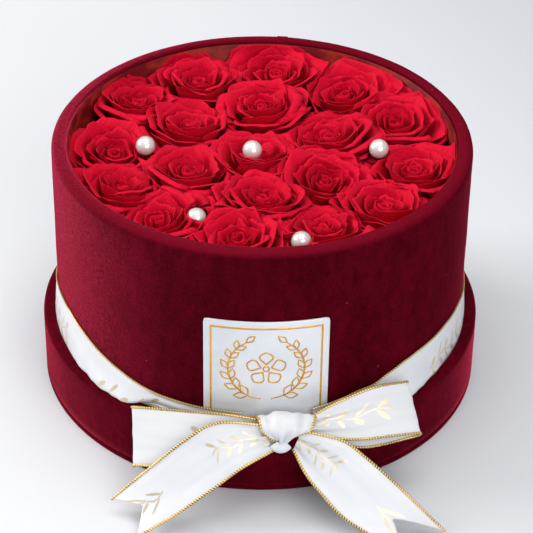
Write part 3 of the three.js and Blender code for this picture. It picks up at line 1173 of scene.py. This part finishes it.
@dataclass
class LabelCard:
    """A square card with round corners, bent to the wall, with a gold wreath."""

    finishes: Finishes
    turn: float = 2.0
    thickness: float = 1.1
    corner: float = 1.6
    inset: float = 3.9
    line: float = 0.95
    foil: float = 0.16

    def sizes(self) -> tuple[float, float, float]:
        """Return the card's inner radius, half side and middle height."""
        low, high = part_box("label_card")
        half = (high.z - low.z) / 2 / MM
        wall = ring_sizes("box_velvet")[0]
        return wall + 0.3, half, (low.z + high.z) / 2 / MM

    def bend(self, bm: bmesh.types.BMesh, radius: float) -> None:
        """Bend a shape drawn flat in X and Z round the wall.

        Args:
            bm: the shape, in millimetres, with its depth along -Y.
            radius: where its Y of 0 comes to lie.
        """
        inner, _, middle = self.sizes()
        for vert in bm.verts:
            turn = self.turn + math.degrees(vert.co.x / inner)
            vert.co = around(turn, radius - vert.co.y, middle + vert.co.z)

    def build_card(self) -> None:
        """Make the card with its bevelled white edge."""
        inner, half, _ = self.sizes()
        bm = bmesh.new()
        bmesh.ops.create_grid(bm, x_segments=26, y_segments=26, size=half)
        bmesh.ops.rotate(bm, cent=(0, 0, 0), matrix=Matrix.Rotation(math.pi / 2, 3, "X"),
                         verts=bm.verts)
        flat = half - self.corner
        for vert in bm.verts:
            over = Vector((max(abs(vert.co.x) - flat, 0), 0, max(abs(vert.co.z) - flat, 0)))
            longest = max(over.x, over.z)
            if over.length > 0 and longest > 0:
                over *= longest / over.length
            vert.co.x = math.copysign(min(abs(vert.co.x), flat) + over.x, vert.co.x)
            vert.co.z = math.copysign(min(abs(vert.co.z), flat) + over.z, vert.co.z)
        bmesh.ops.solidify(bm, geom=bm.faces[:], thickness=self.thickness)
        low = min(vert.co.y for vert in bm.verts)
        bmesh.ops.translate(bm, vec=(0, -low - self.thickness, 0), verts=bm.verts)
        self.bend(bm, inner)
        bmesh.ops.recalc_face_normals(bm, faces=bm.faces)
        piece = as_piece(bm, "label_card_sheet", self.finishes.card)
        edge = piece.modifiers.new("bevelled_edge", "BEVEL")
        edge.width, edge.segments = 0.45 * MM, 3
        edge.angle_limit = math.radians(50)
        settle(piece, Body.BOX, "label_card", "label_card")

    def stroke(self, bm: bmesh.types.BMesh, points: Sequence[Point], width: float,
               taper: float = 0.0) -> None:
        """Add a flat gold line along points, drawn in X and Z.

        Args:
            bm: the foil.
            points: stations of the line's middle.
            width: its width in millimetres.
            taper: how much of the width is lost at both ends.
        """
        stations = [Vector((x, 0, z)) for x, z in points]
        steps = 6 * (len(points) - 1)
        made = bmesh.ops.create_grid(bm, x_segments=steps, y_segments=1, size=1.0)["verts"]
        for vert in made:
            share = (vert.co.x + 1) / 2
            here = spline(stations, share)
            ahead = spline(stations, min(1.0, share + 0.01))
            behind = spline(stations, max(0.0, share - 0.01))
            side = (ahead - behind).normalized().cross(Vector((0, 1, 0)))
            wide = width * (1 - taper * abs(2 * share - 1) ** 2)
            vert.co = here + side * vert.co.y * wide / 2

    def leaf(self, bm: bmesh.types.BMesh, root: Vector, angle: float, length: float) -> None:
        """Add a leaf drawn as two curved lines from its root to its tip."""
        way = Vector((math.cos(angle), math.sin(angle)))
        side = Vector((-way.y, way.x))
        for hand in (1, -1):
            belly = root + way * length * 0.5 + side * hand * length * 0.24
            tip = root + way * length
            self.stroke(bm, [root, belly, tip], self.line * 0.8, 0.35)

    def wreath(self, bm: bmesh.types.BMesh) -> None:
        """Add two bowed sprigs of leaves, mirrored, round a plain five-petal flower."""
        radius, lift = 19.0, 3.0
        for hand in (1, -1):
            stalk = [Vector((hand * radius * math.sin(math.radians(a)),
                             lift - radius * math.cos(math.radians(a)))) for a in
                     range(8, 150, 20)]
            self.stroke(bm, stalk, self.line, 0.4)
            for i, root in enumerate(stalk[1:-1]):
                angle = math.atan2(root.y - lift, root.x)
                ahead = angle + hand * math.radians(90)
                for fan in (-32, 32):
                    self.leaf(bm, root, ahead + math.radians(fan), 7.4 - 0.35 * i)
            self.leaf(bm, stalk[-1], math.atan2(stalk[-1].y - stalk[-2].y,
                                                stalk[-1].x - stalk[-2].x), 6.0)
        self.flower(bm, Vector((0.0, lift)), 9.5)

    def flower(self, bm: bmesh.types.BMesh, middle: Vector, radius: float) -> None:
        """Add a flower of five round petals about a small ring."""
        for i in range(5):
            angle = FULL_TURN * (i / 5 + 0.25)
            way = Vector((math.cos(angle), math.sin(angle)))
            side = Vector((-way.y, way.x))
            root = middle + way * radius * 0.28
            points = [root, middle + way * radius * 0.75 + side * radius * 0.36,
                      middle + way * radius * 1.05,
                      middle + way * radius * 0.75 - side * radius * 0.36, root]
            self.stroke(bm, points, self.line * 0.8)
        ring = [middle + Vector((math.cos(a), math.sin(a))) * 1.5
                for a in (FULL_TURN * i / 8 for i in range(9))]
        self.stroke(bm, ring, self.line * 0.8)

    def build_foil(self) -> None:
        """Make the gold border and the wreath, as foil just proud of the card."""
        inner, half, _ = self.sizes()
        bm = bmesh.new()
        side = half - self.inset
        steps = [side * (2 * i / 8 - 1) for i in range(9)]
        for hand in (-1, 1):
            self.stroke(bm, [(step * 1.012, hand * side) for step in steps], self.line)
            self.stroke(bm, [(hand * side, step) for step in steps], self.line)
        self.wreath(bm)
        bmesh.ops.remove_doubles(bm, verts=bm.verts, dist=0.01)
        self.bend(bm, inner + self.thickness + 0.05)
        piece = as_piece(bm, "label_gold_foil", self.finishes.foil)
        thicken(piece, self.foil)
        settle(piece, Body.BOX, "label_card")

    def build(self) -> None:
        """Make the card and its foil."""
        self.build_card()
        self.build_foil()
        LOG.info("label: card and foil")


# The ribbon


def table(stations: Sequence[tuple[float, float]], at: float) -> float:
    """Return a value read from (place, value) stations with straight lines between."""
    for (a, low), (b, high) in zip(stations, stations[1:]):
        if at <= b:
            return low + (high - low) * max(0.0, at - a) / (b - a)
    return stations[-1][1]


@dataclass
class Ribbon:
    """A ruled strip of satin between two edges, with a gold cord on each.

    The stations are in millimetres. pleat is the height of the folds that start at
    the knot, and ripple that of the slow waves along the strip.
    """

    name: str
    upper: Sequence[Point]
    lower: Sequence[Point]
    columns: int
    pleat: float = 0.0
    pleats: float = 2.5
    ripple: float = 0.0
    notch: float = 0.0
    knot_at_end: bool = False
    across: int = 18
    width: float = 27.0
    thickness: float = 0.28
    cord_r: float = 0.64
    twist: float = 2.2
    cord_sides: int = 7
    length: float = 0.0
    top: list[Vector] = field(init=False)
    bottom: list[Vector] = field(init=False)

    def __post_init__(self) -> None:
        """Keep the stations as vectors."""
        self.top = [Vector(p) for p in self.upper]
        self.bottom = [Vector(p) for p in self.lower]

    def frame(self, along: float) -> tuple[Vector, Vector, Vector]:
        """Return both edges' points and the strip's normal at a share of its length."""
        step = 0.004
        a, b = spline(self.top, along), spline(self.bottom, along)
        ahead = spline(self.top, along + step) + spline(self.bottom, along + step)
        behind = spline(self.top, along - step) + spline(self.bottom, along - step)
        return a, b, (ahead - behind).cross(b - a).normalized()

    def near_knot(self, along: float) -> float:
        """Return 1 at an end that goes into the knot, falling to 0 away from it."""
        ends = (along, 1 - along) if self.knot_at_end else (along,)
        return sum(math.exp(-end * self.length / 21.0) for end in ends)

    def lift(self, along: float, across: float) -> float:
        """Return how far folds and waves lift a point along the normal, in millimetres."""
        near = self.near_knot(along)
        waves = math.cos(FULL_TURN * self.pleats * (across - 0.5) + 0.6)
        waves += 0.5 * math.cos(FULL_TURN * 1.9 * self.pleats * (across - 0.5) + 2.0)
        here = Vector((along * self.length * 0.028, across * 0.8, len(self.name)))
        free = 1 - min(1.0, near)
        slow = noise.noise(here) + 0.35 * noise.noise(here * 2.7)
        return self.pleat * near * waves + self.ripple * slow * free

    def point(self, along: float, across: float) -> Vector:
        """Return a point of the ribbon: 0 to 1 along it, and 0 on its upper edge."""
        a, b, normal = self.frame(along)
        return a.lerp(b, across) + normal * self.lift(along, across)

    def side_at(self, along: float) -> Vector:
        """Return the strip's normal."""
        return self.frame(along)[2]

    def measure(self, samples: int = 120) -> None:
        """Work out the strip's length along its middle, in millimetres."""
        points = [self.point(i / samples, 0.5) for i in range(samples + 1)]
        self.length = sum((b - a).length for a, b in zip(points, points[1:]))

    def build_satin(self, finishes: Finishes) -> bpy.types.Object:
        """Return the satin, with its own map in millimetres."""
        bm = bmesh.new()
        bmesh.ops.create_grid(bm, x_segments=self.columns, y_segments=self.across, size=1.0)
        lay_map(bm, "ribbon", lambda u, v: ((u + 1) / 2 * self.length, v / 2 * self.width))
        for vert in bm.verts:
            across = (vert.co.y + 1) / 2
            cut = 1 - self.notch * (1 - abs(2 * across - 1))
            vert.co = self.point((vert.co.x + 1) / 2 * cut, across)
        piece = as_piece(bm, self.name + "_satin", finishes.satin)
        thicken(piece, self.thickness)
        return piece

    def build_cord(self, edge: float, finishes: Finishes) -> bpy.types.Object:
        """Return the twisted gold cord along one edge.

        Args:
            edge: 0 for the upper edge, 1 for the lower one.
            finishes: the materials.

        Returns:
            The cord.
        """
        inside = 0.012 if edge == 0 else 0.988
        rings = max(12, int(self.length / self.twist * 5))
        path = [self.point(i / rings, inside) for i in range(rings + 1)]
        normals = [self.side_at(i / rings) for i in range(rings + 1)]
        name = f"{self.name}_gold_{'upper' if edge == 0 else 'lower'}"
        return cord_along(name, path, normals, self.cord_r, self.twist, self.cord_sides,
                          finishes.thread)

    def build(self, finishes: Finishes, node: str, rests_on: list[str],
              held: str) -> bpy.types.Object:
        """Args:
            finishes: the materials.
            node: the CAD node that the ribbon stands for.
            rests_on: what it lies against; not used.
            held: how it is held; not used.

        Returns:
            The satin.
        """
        self.length = 100.0
        self.measure()
        satin = self.build_satin(finishes)
        cords = [self.build_cord(edge, finishes) for edge in (0.0, 1.0)]
        settle(satin, Body.BOX, "satin", node)
        for cord in cords:
            settle(cord, Body.BOX, "satin")
        return satin


def cord_along(name: str, path: Sequence[Vector], normals: Sequence[Vector], radius: float,
               twist: float, sides: int, finish: bpy.types.Material) -> bpy.types.Object:
    """Make a cord of two twisted strands along a path.

    Args:
        name: the piece's name.
        path: the cord's middle line, in millimetres.
        normals: a direction across the cord at each point of the path.
        radius: the cord's mean radius.
        twist: the length of one whole turn of the strands.
        sides: faces round the cord.
        finish: its material.

    Returns:
        The cord, with a map of its length in millimetres and its turn.
    """
    last = len(path) - 1
    run = [0.0]
    for a, b in zip(path, path[1:]):
        run.append(run[-1] + (b - a).length)
    bm = bmesh.new()
    bmesh.ops.create_grid(bm, x_segments=last, y_segments=sides, size=1.0)
    lay_map(bm, "thread", lambda u, v: (run[round((u + 1) / 2 * last)], (v + 1) / 2))
    for vert in bm.verts:
        i = round((vert.co.x + 1) / 2 * last)
        turn = (vert.co.y + 1) / 2 * FULL_TURN
        way = (path[min(i + 1, last)] - path[max(i - 1, 0)]).normalized()
        side = way.cross(normals[i]).normalized()
        out = side.cross(way)
        wound = radius * (1 + 0.30 * math.cos(2 * (turn - FULL_TURN * run[i] / twist)))
        vert.co = path[i] + (side * math.cos(turn) + out * math.sin(turn)) * wound
    bmesh.ops.remove_doubles(bm, verts=bm.verts, dist=1e-3)
    bmesh.ops.recalc_face_normals(bm, faces=bm.faces)
    return as_piece(bm, name, finish)


BAND_TOPS = (
    (-180, 55), (-98, 55), (-86, 57.5), (-78, 61), (-72, 62), (-64, 62), (-56, 59), (-48, 55),
    (-40, 51.5), (-32, 48), (-27, 47), (-16, 47), (-4, 47.5), (14, 48.5), (21, 50), (27, 51.5),
    (32, 52), (36, 55), (42, 58), (48, 59.2), (62, 60.5), (72, 60), (80, 57.5), (95, 55),
    (180, 55))
BAND_RADII = (
    (-180, 0.45), (-74, 0.45), (-60, 0.75), (-33, 0.9), (-27, 1.3), (-16, 2.6), (-4, 4.0),
    (14, 4.0), (21, 2.6), (27, 1.3), (33, 0.9), (60, 0.75), (74, 0.45), (180, 0.45))
BAND_BULGE = (
    (-180, 1.4), (-86, 1.8), (-70, 2.3), (-62, 3.4), (-52, 5.6), (-44, 7.4), (-36, 8.0),
    (36, 7.8), (44, 6.8), (52, 4.2), (62, 2.4), (78, 1.7), (180, 1.4))


@dataclass
class Band(Ribbon):
    """The ribbon round the box: down in the lid's gap, and out over its rim in front.

    Its upper edge lies on the wall. Below it the satin bellies out over the rim, then
    tucks down behind it, or in front folds back under itself.
    """

    wall: float = 110.0
    rim: float = 37.0
    cord_r: float = 0.42
    start: float = 14.0
    sweep: float = 342.0

    def turn_at(self, along: float) -> float:
        """Return the turn from the front, in degrees from -180 to 180."""
        turn = self.start + self.sweep * along
        return turn - 360 if turn > 180 else turn

    def point(self, along: float, across: float) -> Vector:
        """Return a point of the band: 0 to 1 from the knot round to it, 0 at the top."""
        turn = self.turn_at(along)
        top = table(BAND_TOPS, turn)
        near = 1 - ease(27, 36, abs(turn))
        over = 1 - ease(44, 62, abs(turn))
        outer = self.wall + table(BAND_RADII, turn)
        here = Vector((turn * 0.19, 3.0, 1.0))
        scallop = 0.9 * noise.noise(here) + 0.5 * noise.noise(here * 2.3)
        belly = self.wall + table(BAND_BULGE, turn) * (1 + 0.16 * scallop)
        low = max(top - self.width, 9.0)
        tucked = ((outer, top), (belly, self.rim + 1.3), (self.wall + 1.45, self.rim - 1.8),
                  (self.wall + 1.3, low))
        folded = ((outer, top), (belly, self.rim + 1.1), (belly - 2.6, self.rim + 0.45),
                  (self.wall + 2.0, self.rim + 0.45))
        flat = ((outer, top), (outer + 0.4, top * 0.6 + 0.4 * (self.rim + 1.6)),
                (outer + 0.6, top * 0.25 + 0.75 * (self.rim + 1.6)), (outer + 0.4, self.rim + 1.6))
        face = max(0.25, min(0.7, (top - self.rim - 1.3) / self.width))
        places = (0.0, face, face + 0.12, 1.0)
        radius, height = 0.0, 0.0
        for line, share in ((tucked, (1 - over) * (1 - near)), (folded, over * (1 - near)),
                            (flat, near)):
            if share:
                radius += share * self.read(line, places, across, 0)
                height += share * self.read(line, places, across, 1)
        crumple = math.exp(-(((turn - 39) / 5.0) ** 2)) + 0.5 * math.exp(-(((turn + 47) / 9) ** 2))
        waves = math.sin(across * 9 + turn * 0.5) * across * (1 - near)
        slow = noise.noise(Vector((turn * 0.09, across * 2.0, 5.0)))
        radius += crumple * waves * 0.9 + 0.55 * (slow + 0.4) * ease(0.05, 0.4, across) * over
        radius += near * 0.35 * math.cos(across * 19)
        return around(turn, radius, height)

    @staticmethod
    def read(line: Sequence[Point], places: Sequence[float], across: float, axis: int) -> float:
        """Return one axis of a bent section: stations at places, with soft corners."""
        soft = 0.035
        total = 0.0
        for shift in (-soft, 0.0, soft):
            at = min(1.0, max(0.0, across + shift))
            total += table([(p, q[axis]) for p, q in zip(places, line)], at)
        return total / 3

    def side_at(self, along: float) -> Vector:
        """Return the direction out from the wall."""
        return around(self.turn_at(along), 1.0)


@dataclass
class Knot:
    """The knot: one turn of ribbon drawn tight over the others, and the pouch below."""

    finishes: Finishes
    slant: float = 0.10
    strand: float = 27.0
    thickness: float = 0.28
    cord_r: float = 0.58
    twist: float = 2.2
    cord_sides: int = 7

    def sizes(self) -> tuple[Vector, Vector]:
        """Return the knot's middle and half sizes, in millimetres."""
        low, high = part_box("bow_knot")
        return (low + high) / 2 / MM, (high - low) / 2 / MM

    def surface(self, around_share: float, across: float) -> Vector:
        """Return a point of the wrapping turn, drawn in to a point low in front.

        Args:
            around_share: 0 to 1 round the knot, from its back, over its top.
            across: -1 on its left edge, 1 on its right edge.

        Returns:
            The point, in millimetres.
        """
        middle, half = self.sizes()
        angle = FULL_TURN * around_share
        low = ease(0.35, 1.0, 0.5 - 0.5 * math.sin(angle + 0.35))
        wide = half.x * (0.98 - 0.66 * low) * across
        crown = math.sqrt(max(0.0, 1 - (0.72 * across) ** 2))
        here = Vector((across * 2.1, math.sin(angle) * 1.1, math.cos(angle)))
        creases = 0.075 * math.cos(8.0 * across + 1.5) + 0.05 * math.cos(15.0 * across + 3 * low)
        creases = creases * (0.45 + low) + 0.16 * noise.noise(here)
        depth = min(0.99, crown * 0.90 + creases)
        drift = -0.16 * half.x * low + self.slant * half.x * math.cos(angle) * across
        return middle + Vector((wide + drift, half.y * depth * math.cos(angle),
                                half.z * depth * math.sin(angle)))

    def build_turn(self) -> bpy.types.Object:
        """Make the satin of the turn, with its own map in millimetres."""
        bm = bmesh.new()
        bmesh.ops.create_grid(bm, x_segments=84, y_segments=40, size=1.0)
        lay_map(bm, "ribbon", lambda u, v: (u * self.strand + 70, v * 12))
        for vert in bm.verts:
            vert.co = self.surface((vert.co.x + 1) / 2, vert.co.y)
        bmesh.ops.remove_doubles(bm, verts=bm.verts, dist=1e-3)
        bmesh.ops.recalc_face_normals(bm, faces=bm.faces)
        piece = as_piece(bm, "bow_knot_satin", self.finishes.satin)
        thicken(piece, self.thickness, -1.0)
        return piece

    def build_pouch(self) -> bpy.types.Object:
        """Make the end of the turn, which bags out in a small pouch under the knot."""
        middle, _ = self.sizes()
        bm = bmesh.new()
        bmesh.ops.create_grid(bm, x_segments=18, y_segments=14, size=1.0)
        lay_map(bm, "ribbon", lambda u, v: (v * 6 + 60, u * 8))
        for vert in bm.verts:
            u, v = vert.co.x, (vert.co.y + 1) / 2
            fall = math.sin(v * math.pi * 0.85)
            wide = 2.2 + 3.0 * fall
            out = 5.5 + 3.6 * fall * math.sqrt(max(0.0, 1 - 0.8 * u * u))
            down = -3.0 - 7.0 * v * (1 - 0.25 * u * u)
            vert.co = middle + Vector((-2.6 + wide * u, -out - 1.5 * (1 - v), down))
        piece = as_piece(bm, "bow_knot_pouch", self.finishes.satin)
        thicken(piece, self.thickness)
        return piece

    def build_cord(self, hand: int) -> bpy.types.Object:
        """Make the gold cord along one side of the turn."""
        rings = 130
        middle, _ = self.sizes()
        path = [self.surface(i / rings, hand) for i in range(rings + 1)]
        outs = [(point - middle).normalized() for point in path]
        side = "left" if hand < 0 else "right"
        return cord_along(f"bow_knot_gold_{side}", path, outs, self.cord_r, self.twist,
                          self.cord_sides, self.finishes.thread)

    def build(self) -> None:
        """Make the turn, its cords and the pouch."""
        settle(self.build_turn(), Body.BOX, "satin", "bow_knot")
        settle(self.build_pouch(), Body.BOX, "satin")
        for hand in (-1, 1):
            settle(self.build_cord(hand), Body.BOX, "satin")


@dataclass
class Bow:
    """The ribbon round the box, its knot, two loops and two swallowtail ends."""

    finishes: Finishes

    def band(self) -> Band:
        """Return the band, from the knot's right side round the back to its left."""
        return Band("ribbon_band", (), (), columns=420, knot_at_end=True,
                    wall=ring_sizes("box_velvet")[0], rim=ring_sizes("lid_wall_velvet")[2])

    def loops(self) -> tuple[Ribbon, Ribbon]:
        """Return the left and the right loop."""
        left = Ribbon(
            "bow_left_loop",
            upper=((2, -117.5, 46), (-14, -117.5, 49), (-32, -114.5, 48.5), (-60, -105.5, 43.5),
                   (-63.5, -103.5, 42), (-60, -102.5, 41), (-32, -111, 45), (-10, -115, 46)),
            lower=((2, -121, 37), (-14, -128, 34), (-30, -133, 26.5), (-59, -124, 20),
                   (-62.5, -121.5, 17.5), (-59, -119.5, 16.5), (-30, -128, 22),
                   (-10, -122, 34)),
            columns=110, pleat=0.7, ripple=1.0, knot_at_end=True)
        right = Ribbon(
            "bow_right_loop",
            upper=((27, -116.5, 48), (38, -112.5, 53), (57, -104, 57), (72.5, -97.5, 56),
                   (75.5, -94, 53.5), (72, -92, 51), (56, -100, 50.5), (37, -109.5, 48)),
            lower=((24, -123, 42), (36, -123.5, 40), (52, -121.5, 37.5), (79, -114.5, 36),
                   (82.5, -111.5, 33), (78, -110.5, 30), (54, -119.5, 30.5),
                   (36, -120, 35.5)),
            columns=110, pleat=0.7, ripple=1.0, knot_at_end=True)
        return left, right

    def tails(self) -> tuple[Ribbon, Ribbon]:
        """Return the left and the right tail."""
        left = Ribbon(
            "bow_left_tail",
            upper=((6, -123, 47), (-20, -124, 49), (-37, -129, 41), (-57, -133, 23.5),
                   (-73, -136, 8)),
            lower=((10, -128, 36), (-7, -138, 31.5), (-21, -144, 23), (-41, -151, 10.5),
                   (-60, -158, 2)),
            columns=90, pleat=0.8, ripple=1.5, notch=0.14)
        right = Ribbon(
            "bow_right_tail",
            upper=((22, -126, 46), (42, -128.5, 43), (54, -132, 35.5), (69, -138, 24),
                   (95, -149, 2)),
            lower=((18, -128, 36), (24, -136, 27), (33, -144, 19), (46, -152, 9.5),
                   (74, -166, 1.6)),
            columns=90, pleat=0.8, ripple=1.5, notch=0.14)
        return left, right

    def build(self) -> None:
        """Make every piece of the tied ribbon."""
        self.band().build(self.finishes, "ribbon_band", ["box_velvet_wrap"], "stretched")
        for loop in self.loops():
            loop.build(self.finishes, loop.name, ["lid_velvet_ring"], "folded")
        for tail in self.tails():
            tail.build(self.finishes, tail.name, ["studio_floor"], "draped")
        Knot(self.finishes).build()
        LOG.info("ribbon: band, knot, loops and tails")


# The studio


@dataclass
class Studio:
    """A pale floor, soft light from the left and behind, and the camera."""

    target: Point = (0.0032, 0.0, 0.0577)
    distance: float = 1.151
    elevation: float = 35.0
    roll: float = 0.9
    lens: float = 142.9
    sensor: float = 36.0

    def build_floor(self) -> None:
        """Make the floor that the box stands on."""
        bm = bmesh.new()
        bmesh.ops.create_grid(bm, x_segments=2, y_segments=2, size=4000)
        bmesh.ops.translate(bm, vec=(0, 0, -0.1), verts=bm.verts)
        floor = as_piece(bm, "studio_floor", FloorFinish().build())

    def build_light(self, name: str, place: Point, size: float, power: float,
                    colour: Point) -> None:
        """Add one square soft light that faces the box.

        Args:
            name: the light's name.
            place: where it hangs, in metres.
            size: its side in metres.
            power: its power in watts.
            colour: its colour.
        """
        data = bpy.data.lights.new(name, "AREA")
        data.size, data.energy, data.color = size, power, colour
        light = bpy.data.objects.new(name, data)
        bpy.context.scene.collection.objects.link(light)
        light.location = place
        way = Vector((0, 0, 0.08)) - Vector(place)
        light.rotation_euler = way.to_track_quat("-Z", "Y").to_euler()

    def build_lights(self) -> None:
        """Hang the lights and set the room's own light."""
        self.build_light("key_window", (-2.15, 0.45, 1.35), 1.3, 56, (1.0, 0.99, 0.98))
        self.build_light("top_softbox", (0.1, 0.0, 1.9), 1.4, 21, (1.0, 1.0, 1.0))
        self.build_light("front_card", (0.7, -1.75, 1.15), 1.4, 25, (0.98, 0.99, 1.0))
        world = bpy.data.worlds.new("studio_air")
        world.use_nodes = True
        air = world.node_tree.nodes["Background"]
        air.inputs[0].default_value = (0.90, 0.93, 0.97, 1)
        air.inputs[1].default_value = 0.29
        bpy.context.scene.world = world

    def build_camera(self) -> None:
        """Place the camera in front of the box, looking down at it."""
        data = bpy.data.cameras.new("camera")
        data.lens, data.sensor_width = self.lens, self.sensor
        data.clip_end = 20.0
        camera = bpy.data.objects.new("camera", data)
        bpy.context.scene.collection.objects.link(camera)
        tip = math.radians(self.elevation)
        back = Vector((0, -math.cos(tip), math.sin(tip)))
        camera.location = Vector(self.target) + back * self.distance
        facing = Matrix.Rotation(math.pi / 2 - tip, 4, "X")
        facing @= Matrix.Rotation(math.radians(self.roll), 4, "Z")
        camera.rotation_euler = facing.to_euler()
        bpy.context.scene.camera = camera

    def build(self) -> None:
        """Make the studio."""
        self.build_floor()
        self.build_lights()
        self.build_camera()
        bpy.context.scene.view_settings.view_transform = "Standard"
        LOG.info("studio: floor, lights and camera")


def main() -> None:
    """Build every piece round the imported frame."""
    logging.basicConfig(level=logging.INFO, format="%(name)s: %(message)s")
    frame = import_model()
    Studio().build()
    finishes = Finishes()
    nodes = frame["nodes"]
    UpturnedLid(finishes, nodes).build()
    HatBox(finishes, nodes).build()
    RoseBed(finishes, nodes).build()
    LabelCard(finishes).build()
    Bow(finishes).build()


if __name__ == "__main__":
    main()
